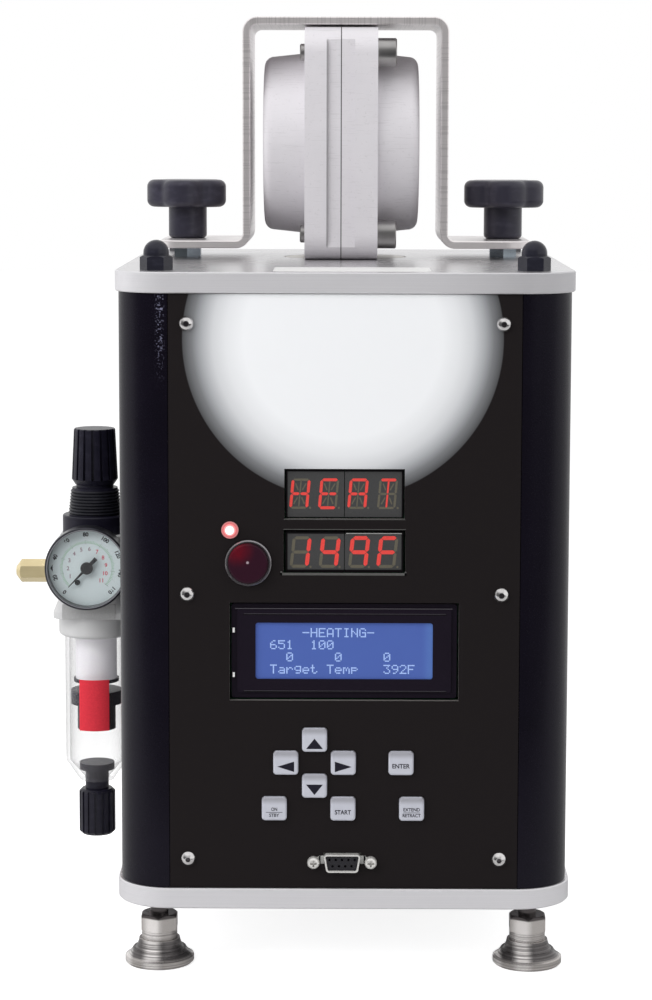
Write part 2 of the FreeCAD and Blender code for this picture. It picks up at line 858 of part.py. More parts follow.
def make_tie_rods():
    """Rods between the plates, threaded through the top one and bored for the feet below."""
    bore = half(CLEAR_HOLE)
    top = "shell_height + plate_thick + nut_grip"
    body = turned("tie_rods", [
        ("0", "tie_bore"), (bore, "tie_bore"), (bore, "0"), ("tie_dia / 2", "0"),
        ("tie_dia / 2", "shell_height"), ("thread_dia / 2", "shell_height"),
        ("thread_dia / 2", top), ("0", top),
    ], *first_tie(BASE_TOP))
    repeat_ties(body)


def first_tie(level):
    """The place of the front left tie rod at a level."""
    return ("-%s / 2" % TIE_SPAN_X, "%s - %s / 2" % (PLATE_MID_Y, TIE_SPAN_Y), level)


def repeat_ties(body):
    repeat(body, "X_Axis", TIE_SPAN_X, 2, "Y_Axis", TIE_SPAN_Y, 2)


def hex_crown(body, flats, top, drop):
    """Turns the six corners of a hexagon off at the top, as on a real nut."""
    corner = "((%s) / sqrt(3))" % flats
    sketch = new_sketch(body, "XZ_Plane")
    reach = "%s + edge_break" % corner
    outline(sketch, [
        ("(%s) / 2 - edge_break / 2" % flats, top), (reach, "%s - (%s)" % (top, drop)),
        (reach, top),
    ])
    groove(body, sketch)


def make_cap_nuts():
    """Acorn nuts on the tie rods' threads."""
    dome = "nut_dome_dia / 2"
    body = new_body("cap_nuts", *first_tie("0"))
    hexagon = new_sketch(body)
    hex_outline(hexagon, "nut_flats")
    pad(body, hexagon, "nut_hex")
    hex_crown(body, "nut_flats", "nut_hex", "nut_crown")
    cap = new_sketch(body, "XZ_Plane")
    outline(cap, [
        ("0", "nut_hex / 2"), (dome, "nut_hex / 2"), (dome, "nut_tall - " + dome, dome),
        ("0", "nut_tall"),
    ])
    revolve(body, cap)
    thread = new_sketch(body)
    round_outline(thread, CLEAR_HOLE)
    pocket(body, thread, "nut_grip + seat_play", upward=True)
    repeat_ties(body)


def make_foot(name, side, end):
    """A levelling foot: the threaded stud, and the flared base in which its neck turns."""
    x = "%d * %s / 2" % (side, TIE_SPAN_X)
    y = "%s + %d * %s / 2" % (PLATE_MID_Y, end, TIE_SPAN_Y)
    ring_low = "(-foot_hex - foot_ring)"
    neck_low = "(-foot_hex - foot_ring - foot_neck_tall)"
    stud = turned(name + "_foot_stud", [
        ("0", "foot_grip"), ("thread_dia / 2", "foot_grip"), ("thread_dia / 2", "-foot_hex"),
        ("foot_ring_dia / 2", "-foot_hex"), ("foot_ring_dia / 2", ring_low),
        ("foot_neck / 2", ring_low), ("foot_neck / 2", neck_low), ("0", neck_low),
    ], x, y, FOOT_HEX_TOP)
    hexagon = new_sketch(stud)
    hex_outline(hexagon, "foot_flats", turn=30)
    pad(stud, hexagon, "foot_hex", downward=True)
    hex_crown(stud, "foot_flats", "0", "foot_crown")
    rim = "foot_base_dia / 2"
    socket = "foot_neck / 2 + 2 * foot_play"
    floor = "foot_base_tall - foot_neck_tall - 2 * foot_play"
    waist = "foot_base_tall - foot_flare"
    turned(name + "_foot_base", [
        ("0", floor), (socket, floor), (socket, "foot_base_tall"),
        ("foot_base_top / 2", "foot_base_tall", "2 * foot_flare"), ("foot_waist_dia / 2", waist),
        ("foot_waist_dia / 2 + foot_waist_step", waist, "2 * foot_flare"), (rim, "foot_rim"),
        (rim, "foot_sole"), ("foot_sole_dia / 2", "foot_sole"), ("foot_sole_dia / 2", "0"),
        ("0", "0"),
    ], x, y, "%s + %s - foot_play - foot_base_tall" % (FOOT_HEX_TOP, ring_low))


# Clamp

def make_clamp_studs():
    """Studs with a hexagon collar on which the bracket's feet rest."""
    body = turned("clamp_studs", [
        ("0", PLATE_UNDER), ("thread_dia / 2", PLATE_UNDER),
        ("thread_dia / 2", "clamp_stud_tall - edge_break"),
        ("thread_dia / 2 - edge_break", "clamp_stud_tall"), ("0", "clamp_stud_tall"),
    ], "-clamp_span / 2")
    collar = new_sketch(body)
    hex_outline(collar, "collar_flats", turn=30)
    pad(body, collar, "collar_tall")
    repeat(body, "X_Axis", "clamp_span", 2)


def make_bracket():
    """A flat bar bent four times to stand over the flask, with rounded feet."""
    body = new_body("clamp_bracket", turn=FROM_FRONT)
    leg = "(bracket_span / 2)"
    inner_leg = "(bracket_span / 2 - bar_thick)"
    inner_bend = "(bar_bend - bar_thick)"
    top = "(bracket_rise + bar_thick)"
    sketch = new_sketch(body)
    outline(sketch, mirrored([
        ("%s - bar_bend" % leg, "bracket_rise", "-" + inner_bend),
        (inner_leg, "bracket_rise - " + inner_bend),
        (inner_leg, "collar_tall + bar_bend", "bar_bend"),
        (inner_leg + " + bar_bend", "collar_tall"), ("bracket_reach / 2", "collar_tall"),
        ("bracket_reach / 2", STRAP_FOOT_TOP),
        ("%s + %s" % (leg, inner_bend), STRAP_FOOT_TOP, "-" + inner_bend),
        (leg, "%s + %s" % (STRAP_FOOT_TOP, inner_bend)), (leg, top + " - bar_bend", "bar_bend"),
        (leg + " - bar_bend", top),
    ]))
    pad(body, sketch, "bar_width", both_ways=True)
    end = value("bracket_reach / 2")
    soften(body, "Fillet", "bracket_round", lambda edge: (
        abs(abs(edge.CenterOfMass.x) - end) < 1e-3
        and abs(edge.BoundBox.YLength - value("bar_thick")) < 1e-3))
    holes = new_sketch(body, "XZ_Plane")
    for side in (-1, 1):
        round_outline(holes, CLEAR_HOLE, "%d * clamp_span / 2" % side)
    pocket(body, holes)
    soften(body, "Chamfer", "edge_break", long_rim(body, "bar_width"))


def long_rim(body, width):
    """Picks the edges in the two flat sides of a bent bar."""
    level = value(width) / 2
    return lambda edge: (edge.BoundBox.ZLength < 1e-4
                         and abs(abs(edge.BoundBox.ZMin) - level) < 1e-4)


def lobed_outline(sketch, diameter, lobe, valley, count):
    """A star knob's outline: round lobes joined by hollow arcs that touch them smoothly."""
    reach = "(%s / 2 - %s)" % (diameter, lobe)
    step = 360 / count
    valley_reach = "(%s * cos(%g) + sqrt((%s + %s)^2 - (%s * sin(%g))^2))" % (
        reach, step / 2, lobe, valley, reach, step / 2)
    share = "(%s / (%s + %s))" % (lobe, lobe, valley)
    along = "(%s + (%s * cos(%g) - %s) * %s)" % (reach, valley_reach, step / 2, reach, share)
    across = "(%s * sin(%g) * %s)" % (valley_reach, step / 2, share)
    corners = []
    for k in range(count):
        turn = 90 + step * k
        for sign, radius in ((-1, lobe), (1, "-" + valley)):
            corners.append((
                "%s * cos(%g) - %d * %s * sin(%g)" % (along, turn, sign, across, turn),
                "%s * sin(%g) + %d * %s * cos(%g)" % (along, turn, sign, across, turn),
                radius,
            ))
    outline(sketch, corners)


def make_clamp_knob(name, side):
    """A five-lobed knob and its threaded insert."""
    place = ("%d * clamp_span / 2" % side, "0", STRAP_FOOT_TOP)
    knob = turned(name + "_clamp_knob", [
        ("0", "0"), ("knob_hub_dia / 2 - knob_hub_round", "0", "knob_hub_round"),
        ("knob_hub_dia / 2", "knob_hub_round"), ("knob_hub_dia / 2", "knob_hub + knob_head / 2"),
        ("0", "knob_hub + knob_head / 2"),
    ], *place)
    head = new_sketch(knob, offset="knob_hub")
    lobed_outline(head, "knob_dia", "knob_lobe", "knob_valley", 5)
    sketch_turn(head, name + "_knob_rest")
    pad(knob, head, "knob_head")
    knob_rim = value("knob_hub_dia / 2 + knob_round")
    levels = at_level("knob_hub", "knob_hub + knob_head")
    soften(knob, "Fillet", "knob_round", lambda edge: (
        levels(edge) and math.hypot(edge.Vertexes[0].X, edge.Vertexes[0].Y) > knob_rim))
    bore = new_sketch(knob, "XZ_Plane")
    thread = "(thread_dia / 2 + 2 * turn_play)"
    outline(bore, [
        ("0", "0"), ("insert_dia / 2 + turn_play", "0"), ("insert_dia / 2 + turn_play", "insert_tall"),
        (thread, "insert_tall"), (thread, "knob_bore"), ("0", "knob_bore"),
    ])
    groove(knob, bore)
    turned(name + "_knob_insert", [
        (half(CLEAR_HOLE), "0"), ("insert_dia / 2", "0"), ("insert_dia / 2", "insert_tall"),
        (half(CLEAR_HOLE), "insert_tall"),
    ], *place)


# Flask

def make_flask_half(name, turn):
    """One cast half, drawn with the parting plane at z = 0 and the belly outwards."""
    body = new_body("flask_%s_half" % name, "-flask_offset", "0", FLASK_MID, turn)
    block = new_sketch(body)
    box_outline(block, "flask_depth", "flask_tall", corner="flask_corner")
    pad(body, block, "flask_half")
    crown = "(flask_half + belly_rise)"
    rim = "(belly_dia / 2 - belly_draft)"
    belly = new_sketch(body, "XZ_Plane")
    outline(belly, [
        ("0", "flask_half / 2"), ("belly_dia / 2", "flask_half / 2"), ("belly_dia / 2", "flask_half"),
        (rim, crown + " - belly_round", "belly_round"), (rim + " - belly_round", crown),
        ("0", crown),
    ])
    revolve(body, belly)
    cavity = new_sketch(body)
    round_outline(cavity, "cavity_dia")
    pocket(body, cavity, "cavity_deep", upward=True)
    sprue = new_sketch(body, "XZ_Plane", half("flask_tall"))
    round_outline(sprue, "sprue_dia")
    pocket(body, sprue, half("flask_tall"))
    for end in (-1, 1):
        recess = new_sketch(body, "YZ_Plane", "%d * flask_depth / 2" % end)
        box_outline(recess, "flask_tall - 2 * recess_end", "recess_wide")
        pocket(body, recess, "recess_deep", upward=end < 0)
    holes = new_sketch(body)
    for side in (-1, 1):
        for level in (-1, 1):
            round_outline(holes, CLEAR_HOLE, "%d * flask_screw_deep / 2" % side,
                          "%d * flask_screw_tall / 2" % level)
    pocket(body, holes)


def make_flask():
    """Two halves on edge, held together by four socket-head screws from the right."""
    make_flask_half("left", FROM_LEFT)
    make_flask_half("right", FROM_RIGHT)
    low = "-2 * flask_half - flask_screw_end"
    head = "flask_screw_head / 2"
    screws = turned("flask_screws", [
        ("0", low), ("thread_dia / 2 - edge_break", low), ("thread_dia / 2", low + " + edge_break"),
        ("thread_dia / 2", "0"), (head, "0"), (head, "flask_screw_crown - edge_break"),
        (head + " - edge_break", "flask_screw_crown"), ("0", "flask_screw_crown"),
    ], "flask_half - flask_offset", "-flask_screw_deep / 2", FLASK_MID + " - flask_screw_tall / 2",
        FROM_RIGHT)
    key = new_sketch(screws, offset="flask_screw_crown")
    hex_outline(key, "flask_screw_key")
    pocket(screws, key, "flask_screw_crown / 2")
    repeat(screws, "X_Axis", "flask_screw_deep", 2, "Y_Axis", "flask_screw_tall", 2)


# Barrel, heater, ram and cylinder

def make_barrel():
    """The heated barrel that takes the cartridge, hung by its flange."""
    bore = "bore_dia / 2"
    flange = "barrel_flange_dia / 2"
    turned("heater_barrel", [
        (bore, "-barrel_long"), ("barrel_dia / 2", "-barrel_long"), ("barrel_dia / 2", "-barrel_flange"),
        (flange, "-barrel_flange"), (flange, "-edge_break"), (flange + " - edge_break", "0"),
        (bore, "0"),
    ])


def make_band_heater():
    """A split band with two lugs, clamped round the barrel."""
    body = new_body("band_heater", z="-heater_drop - heater_long")
    inner = "(barrel_dia / 2 + heater_play)"
    outer = "(%s + heater_wall)" % inner
    band = new_sketch(body)
    round_outline(band, "2 * %s" % outer)
    pad(body, band, "heater_long")
    lugs = new_sketch(body)
    box_outline(lugs, "heater_split + 2 * heater_lug_thick", "heater_wall + heater_lug",
                y="%s + (heater_lug - heater_wall) / 2" % outer)
    pad(body, lugs, "heater_long")
    split = new_sketch(body)
    box_outline(split, "heater_split", "%s + heater_lug" % outer,
                y="(%s + heater_lug) / 2" % outer)
    pocket(body, split)
    hollow = new_sketch(body)
    round_outline(hollow, "2 * %s" % inner)
    pocket(body, hollow)


def make_ram():
    """The ram's head, rod and piston in one piece."""
    top = "-ram_drop"
    low = "(-ram_drop - ram_head)"
    turned("ram", [
        ("0", PISTON_FLOOR), (PISTON_RADIUS, PISTON_FLOOR),
        (PISTON_RADIUS, PISTON_FLOOR + " + piston_tall"),
        ("rod_dia / 2", PISTON_FLOOR + " + piston_tall"), ("rod_dia / 2", low),
        (RAM_RADIUS, low), (RAM_RADIUS, top + " - edge_break"),
        (RAM_RADIUS + " - edge_break", top), ("0", top),
    ])


def make_cylinder():
    """An air cylinder with square end caps, four rods and a gland for the ram's rod."""
    body = new_body("air_cylinder", z=BASE_TOP)
    cap_end(body, "0")
    tube = new_sketch(body, offset="cylinder_cap / 2")
    round_outline(tube, "cylinder_bore + 2 * cylinder_wall")
    pad(body, tube, "cylinder_tall - cylinder_cap")
    rods = new_sketch(body, offset="cylinder_cap / 2")
    for side in (-1, 1):
        for end in (-1, 1):
            round_outline(rods, "cylinder_rod",
                          "%d * (cylinder_square / 2 - cylinder_rod_inset)" % side,
                          "%d * (cylinder_square / 2 - cylinder_rod_inset)" % end)
    pad(body, rods, "cylinder_tall - cylinder_cap")
    cap_end(body, "cylinder_tall - cylinder_cap")
    inside = new_sketch(body, "XZ_Plane")
    gland = "(rod_dia / 2 + seat_play)"
    ceiling = "(cylinder_tall - cylinder_cap)"
    outline(inside, [
        ("0", "cylinder_cap"), ("cylinder_bore / 2", "cylinder_cap"),
        ("cylinder_bore / 2", ceiling), (gland, ceiling), (gland, "cylinder_tall + 1"),
        ("0", "cylinder_tall + 1"),
    ])
    groove(body, inside)


def cap_end(body, level):
    """One square end cap of the cylinder."""
    cap = new_sketch(body, offset=level)
    box_outline(cap, "cylinder_square", "cylinder_square", corner="cylinder_corner")
    pad(body, cap, "cylinder_cap")


def make_valve():
    """The solenoid valve that stands beside the cylinder, its coil on top."""
    body = new_body("solenoid_valve", "-(cylinder_square + valve_wide) / 2", "0", BASE_TOP)
    block = new_sketch(body)
    box_outline(block, "valve_wide", "valve_deep")
    pad(body, block, "valve_tall")
    coil = new_sketch(body, offset="valve_tall")
    box_outline(coil, "coil_dia", "coil_dia", corner="coil_round")
    pad(body, coil, "coil_tall")
    nut = new_sketch(body, offset="valve_tall + coil_tall")
    hex_outline(nut, "coil_nut_flats")
    pad(body, nut, "coil_nut")


# Control board, displays and lamps

def make_board():
    """The board behind the panel, with its posts and one switch under each key."""
    body = new_body("control_board", y=BOARD_FRONT, turn=FROM_FRONT)
    card = new_sketch(body)
    box_outline(card, "board_wide", "board_tall", y="-board_drop")
    pad(body, card, "board_thick", downward=True)
    posts = new_sketch(body)
    for side in (-1, 1):
        for end in (-1, 1):
            round_outline(posts, "board_post", "%d * (board_wide / 2 - board_inset)" % side,
                          "%d * (board_tall / 2 - board_inset) - board_drop" % end)
    pad(body, posts, "board_stand")
    switches = new_sketch(body)
    for x, z in KEY_PLACES.values():
        box_outline(switches, "switch_side", "switch_side", x, z)
    pad(body, switches, "switch_tall")


def make_display(name):
    """Two two-character modules side by side."""
    body = new_body(name + "_display", "-(module_wide + module_seam) / 2", BOARD_FRONT,
                    "-%s_drop" % name, FROM_FRONT)
    module = new_sketch(body)
    box_outline(module, "module_wide", name + "_module_tall")
    pad(body, module, "board_stand + panel_thick - face_recess")
    repeat(body, "X_Axis", "module_wide + module_seam", 2)


def make_lcd():
    """The character display: card, spacers, stepped metal frame and sunk glass."""
    body = new_body("lcd_module", "0", "%s + face_recess + lcd_frame_deep" % PANEL_FRONT,
                    "-lcd_drop", FROM_FRONT)
    card = new_sketch(body)
    box_outline(card, "lcd_card_wide", "lcd_card_tall")
    pad(body, card, "lcd_card_thick", downward=True)
    spacers = new_sketch(body)
    for side in (-1, 1):
        for end in (-1, 1):
            round_outline(spacers, "board_post", "%d * (lcd_card_wide / 2 - lcd_inset)" % side,
                          "%d * (lcd_card_tall / 2 - lcd_inset)" % end)
    pad(body, spacers, "board_stand + panel_thick - face_recess - lcd_frame_deep", downward=True)
    frame_wide = "(lcd_window_wide - 2 * lcd_gap)"
    frame_tall = "(lcd_window_tall - 2 * lcd_gap)"
    frame = new_sketch(body)
    box_outline(frame, frame_wide, frame_tall, corner="glass_corner")
    pad(body, frame, "lcd_frame_deep - lcd_step_deep")
    crown = new_sketch(body)
    box_outline(crown, frame_wide + " - 2 * lcd_step", frame_tall + " - 2 * lcd_step",
                corner="glass_corner")
    pad(body, crown, "lcd_frame_deep")
    glass = new_sketch(body, offset="lcd_frame_deep")
    box_outline(glass, "glass_wide", "glass_tall", corner="glass_corner")
    pocket(body, glass, "glass_recess")


def make_status_led():
    """A small diode in a clear collar."""
    face = "(board_stand + panel_thick)"
    brim = "(board_stand + panel_thick + led_collar)"
    turned("status_led", [
        ("0", "0"), ("led_dia / 2", "0"), ("led_dia / 2", face), ("led_collar_dia / 2", face),
        ("led_collar_dia / 2", brim), ("led_dia / 2", brim, dome_radius("led_dia", "led_dome")),
        ("0", brim + " + led_dome"),
    ], "-led_side", BOARD_FRONT, "-led_drop", FROM_FRONT)


def make_pilot():
    """The pilot lamp: a ring with its barrel through the panel, and the red lens."""
    place = ("-pilot_side", PANEL_FRONT, "-pilot_drop", FROM_FRONT)
    ring = "pilot_ring_dia / 2"
    seat = "(pilot_lens_dia / 2 + turn_play)"
    plug = "(pilot_plug_dia / 2 + turn_play)"
    turned("pilot_bezel", [
        (plug, "-pilot_body_long"), ("pilot_body_dia / 2", "-pilot_body_long"),
        ("pilot_body_dia / 2", "0"), (ring, "0"), (ring, "pilot_ring - edge_break"),
        (ring + " - edge_break", "pilot_ring"), (seat, "pilot_ring"), (seat, "pilot_seat"),
        (plug, "pilot_seat"),
    ], *place)
    lens = "pilot_lens_dia / 2"
    turned("pilot_lens", [
        ("0", "-pilot_plug"), ("pilot_plug_dia / 2", "-pilot_plug"),
        ("pilot_plug_dia / 2", "pilot_seat"), (lens, "pilot_seat"),
        (lens, "pilot_lens_tall - pilot_round", "pilot_round"),
        (lens + " - pilot_round", "pilot_lens_tall"), ("0", "pilot_lens_tall"),
    ], *place)


# Keys and serial socket

def make_key(label, x, z):
    """A push key: rounded cap, lip behind the panel and stem over its switch."""
    body = new_body(label, x, PANEL_BACK, z, FROM_FRONT)
    cap = new_sketch(body)
    box_outline(cap, "key_wide", "key_tall", corner="key_corner")
    pad(body, cap, "panel_thick + key_proud")
    soften(body, "Fillet", "key_round", at_level("panel_thick + key_proud"))
    lip = new_sketch(body)
    box_outline(lip, "key_wide + 2 * key_lip", "key_tall + 2 * key_lip")
    pad(body, lip, "key_lip_thick", downward=True)
    stem = new_sketch(body)
    box_outline(stem, "key_stem", "key_stem")
    pad(body, stem, "board_stand - switch_tall - key_travel - turn_play", downward=True)


def serial_outline(sketch, grow, x="0", y="0"):
    """The socket's D outline, its wide side up, grown by a gap on every side."""
    wide = "(serial_wide / 2 + %s)" % grow
    narrow = "(serial_wide / 2 - serial_slope + %s)" % grow
    tall = "(serial_tall / 2 + %s)" % grow
    low, high = "%s - %s" % (y, tall), "%s + %s" % (y, tall)
    outline(sketch, [
        ("%s - %s" % (x, narrow), low), ("%s + %s" % (x, narrow), low),
        ("%s + %s" % (x, wide), high), ("%s - %s" % (x, wide), high),
    ])


def make_serial_connector():
    """A nine-pin socket fixed from behind, held by two domed cross-head screws."""
    body = new_body("serial_connector", "-serial_side", PANEL_BACK, "-serial_drop", FROM_FRONT)
    flange = new_sketch(body)
    box_outline(flange, "serial_flange_wide", "serial_flange_tall", corner="key_corner")
    pad(body, flange, "serial_flange", downward=True)
    block = new_sketch(body)
    box_outline(block, "serial_block_wide", "serial_block_tall")
    pad(body, block, "board_stand", downward=True)
    shell = new_sketch(body)
    serial_outline(shell, "0")
    pad(body, shell, "panel_thick + serial_proud")
    mouth = new_sketch(body, offset="panel_thick + serial_proud")
    serial_outline(mouth, "(-serial_wall)")
    pocket(body, mouth, "serial_recess")
    soften(body, "Fillet", "serial_corner", upright("panel_thick + serial_proud"))
    soften(body, "Fillet", "serial_corner - serial_wall", upright("serial_recess"))
    pins = new_sketch(body, offset="panel_thick + serial_proud - serial_recess")
    for count, level in ((5, 1), (4, -1)):
        for k in range(count):
            round_outline(pins, "pin_dia", "%g * pin_step" % (k - (count - 1) / 2),
                          "%d * pin_row / 2" % level)
    pocket(body, pins, "panel_thick")
    holes = new_sketch(body)
    for side in (-1, 1):
        round_outline(holes, "post_dia + hole_play", "%d * post_pitch / 2" % side)
    pocket(body, holes, "2 * serial_flange")
    shanks = new_sketch(body, offset="panel_thick")
    heads = new_sketch(body, offset="panel_thick")
    crosses = new_sketch(body, offset="panel_thick + post_proud")
    for side in (-1, 1):
        place = "%d * post_pitch / 2" % side
        round_outline(shanks, "post_dia", place)
        round_outline(heads, "post_head", place)
        cross_outline(crosses, "post_cross", "post_slot", place)
    pad(body, shanks, "post_long", downward=True)
    pad(body, heads, "post_proud")
    soften(body, "Fillet", "post_round", at_level("panel_thick + post_proud"))
    pocket(body, crosses, "post_round")


# Filter-regulator and gauge

def make_regulator_body():
    """The cast body: block, flared skirt, side ports and the round collar of the bowl."""
    body = new_body("regulator_body", REGULATOR_X, "regulator_back", "-port_drop")
    block = new_sketch(body, offset="regulator_up")
    box_outline(block, "block_wide", "block_deep", corner="block_corner")
    pad(body, block, "regulator_up + regulator_down - skirt_foot", downward=True)
    skirt_low = "(skirt_foot - regulator_down)"
    upper = new_sketch(body, offset=skirt_low + " + skirt_rise")
    box_outline(upper, "block_wide", "block_deep", corner="block_corner")
    lower = new_sketch(body, offset=skirt_low)
    box_outline(lower, "skirt_wide", "skirt_wide", corner="skirt_corner")
    add_feature(body, "AdditiveLoft", Profile=(upper, [""]), Sections=[(lower, [""])], Ruled=True)
    foot = new_sketch(body, offset=skirt_low)
    box_outline(foot, "skirt_wide", "skirt_wide", corner="skirt_corner")
    pad(body, foot, "skirt_foot", downward=True)
    ports = new_sketch(body, "YZ_Plane")
    round_outline(ports, "port_boss_dia")
    pad(body, ports, "port_span", both_ways=True)
    collar = new_sketch(body, "XZ_Plane")
    collar_low = "(-regulator_down - collar_height)"
    outline(collar, [
        ("0", "skirt_foot - regulator_down"), ("collar_dia / 2", "skirt_foot - regulator_down"),
        ("collar_dia / 2", collar_low + " + collar_round", "-collar_round"),
        ("collar_dia / 2 - collar_round", collar_low), ("0", collar_low),
    ])
    revolve(body, collar)
    cut_regulator(body, collar_low)


def cut_regulator(body, collar_low):
    """The bowl's seat and chamber, the two side ports, the gauge port and the stem's bore."""
    chamber = new_sketch(body, "XZ_Plane")
    seat = "(bowl_dia / 2 + turn_play)"
    outline(chamber, [
        ("0", collar_low), (seat, collar_low), (seat, collar_low + " + bowl_grip"),
        ("chamber_dia / 2", collar_low + " + bowl_grip"), ("chamber_dia / 2", CHAMBER_TOP),
        ("0", CHAMBER_TOP),
    ])
    groove(body, chamber)
    for side, diameter in ((-1, "inlet_thread_dia"), (1, "nipple_dia")):
        port = new_sketch(body, "YZ_Plane", "%d * port_span / 2" % side)
        round_outline(port, diameter + " + 2 * turn_play")
        pocket(body, port, "port_deep", upward=side < 0)
    gauge = new_sketch(body, "XZ_Plane", "block_deep / 2")
    round_outline(gauge, "gauge_stem_dia + 2 * turn_play", "-gauge_side", "gauge_up")
    pocket(body, gauge, "gauge_stem")
    stem = new_sketch(body, offset="regulator_up")
    round_outline(stem, "stem_dia + 2 * slide_play")
    pocket(body, stem, "regulator_up / 2")


def make_bonnet():
    """The bonnet with its threaded neck, a narrower lip under the knob."""
    bore = "(stem_dia / 2 + slide_play)"
    neck = "(bonnet_flange + bonnet_neck)"
    turned("regulator_bonnet", [
        (bore, "0"), ("bonnet_dia / 2", "0"), ("bonnet_dia / 2", "bonnet_flange - edge_break"),
        ("bonnet_dia / 2 - edge_break", "bonnet_flange"), ("bonnet_neck_dia / 2", "bonnet_flange"),
        ("bonnet_top_dia / 2", neck), ("bonnet_lip_dia / 2", neck),
        ("bonnet_lip_dia / 2", neck + " + bonnet_lip"), (bore, neck + " + bonnet_lip"),
    ], REGULATOR_X, "regulator_back", BONNET_LOW)


def make_adjusting_stem():
    """The screw that the knob turns, with a hexagon that slides in the knob."""
    body = turned("adjusting_stem", [
        ("0", "-stem_down"), ("stem_dia / 2", "-stem_down"), ("stem_dia / 2", "0"), ("0", "0"),
    ], REGULATOR_X, "regulator_back", KNOB_LOW)
    key = new_sketch(body)
    hex_outline(key, "stem_flats")
    pad(body, key, "stem_up")


def cut_ribs(body, narrow, wide, top, length, count):
    """Cuts upright grip grooves round a knob that widens from one diameter to another."""
    slot = new_sketch(body, offset=top)
    box_outline(slot, "rib_wide", "%s - %s + 2 * rib_deep" % (wide, narrow), y=half(wide))
    groove_cut = pocket(body, slot, length)
    ring_repeat(body, [groove_cut], count)


def make_regulator_knob():
    """The fluted knob, chamfered at its foot, with a hexagon bore for the stem."""
    knob = turned("regulator_knob", [
        ("0", "0"), ("pull_knob_foot / 2", "0"), ("pull_knob_dia / 2", "pull_knob_chamfer"),
        ("pull_knob_top / 2", "pull_knob_tall - edge_break"),
        ("pull_knob_top / 2 - edge_break", "pull_knob_tall"), ("0", "pull_knob_tall"),
    ], REGULATOR_X, "regulator_back", KNOB_LOW)
    bore = new_sketch(knob)
    hex_outline(bore, "stem_flats + 2 * slide_play")
    pocket(knob, bore, "stem_up + slide_play", upward=True)
    cut_ribs(knob, "pull_knob_top", "pull_knob_dia", "pull_knob_tall",
             "pull_knob_tall - pull_knob_chamfer", "pull_knob_ribs")


def make_bowl():
    """The clear bowl with its conical bottom."""
    low = "(-bowl_grip - bowl_tall - bowl_cone)"
    cone = "(-bowl_grip - bowl_tall)"
    inner = "(bowl_dia / 2 - bowl_wall)"
    hole = "(drain_stem / 2 + slide_play)"
    turned("filter_bowl", [
        (hole, low), ("bowl_neck_dia / 2", low), ("bowl_dia / 2", cone), ("bowl_dia / 2", "0"),
        (inner, "0"), (inner, cone), ("bowl_neck_dia / 2 - bowl_wall", low + " + bowl_wall"),
        (hole, low + " + bowl_wall"),
    ], REGULATOR_X, "regulator_back", BOWL_TOP)


def make_filter_inside():
    """The white element, and under it the black baffle with its sleeve."""
    place = (REGULATOR_X, "regulator_back")
    height = "(%s - port_drop - %s)" % (CHAMBER_TOP, ELEMENT_LOW)
    turned("filter_element", [
        ("element_bore / 2", "0"), ("element_dia / 2", "0"), ("element_dia / 2", height),
        ("element_bore / 2", height),
    ], *place, ELEMENT_LOW)
    stem = "baffle_stem / 2"
    disc = "baffle_dia / 2"
    sleeve = "baffle_sleeve_dia / 2"
    drop = "(-baffle_drop)"
    rim = "(-baffle_drop - baffle_rim)"
    turned("filter_baffle", [
        ("0", "bowl_grip"), (stem, "bowl_grip"), (stem, "0"), ("baffle_disc_dia / 2", "0"),
        ("baffle_disc_dia / 2", "-baffle_disc"), (stem, "-baffle_disc"), (stem, drop),
        (disc, drop), (disc, rim), (sleeve, rim), (sleeve, "-baffle_tall"), ("0", "-baffle_tall"),
    ], *place, ELEMENT_LOW)


def make_drain_knob():
    """The ribbed drain knob and the flanged stem that carries it through the bowl."""
    low = "(-drain_gap - drain_tall)"
    stem = "drain_stem / 2"
    flange = "drain_stem_tall - drain_flange"
    knob = turned("drain_knob", [
        ("0", low), ("drain_dia / 2 - drain_round", low),
        ("drain_dia / 2", low + " + drain_round"), ("drain_dia / 2", "-drain_gap - drain_round"),
        ("drain_dia / 2 - drain_round", "-drain_gap"), (stem, "-drain_gap"), (stem, flange),
        ("drain_flange_dia / 2", flange), ("drain_flange_dia / 2", "drain_stem_tall"),
        ("0", "drain_stem_tall"),
    ], REGULATOR_X, "regulator_back", "%s - bowl_grip - bowl_tall - bowl_cone" % BOWL_TOP)
    cut_ribs(knob, "drain_dia", "drain_dia", "-drain_gap", "drain_tall", "drain_ribs")


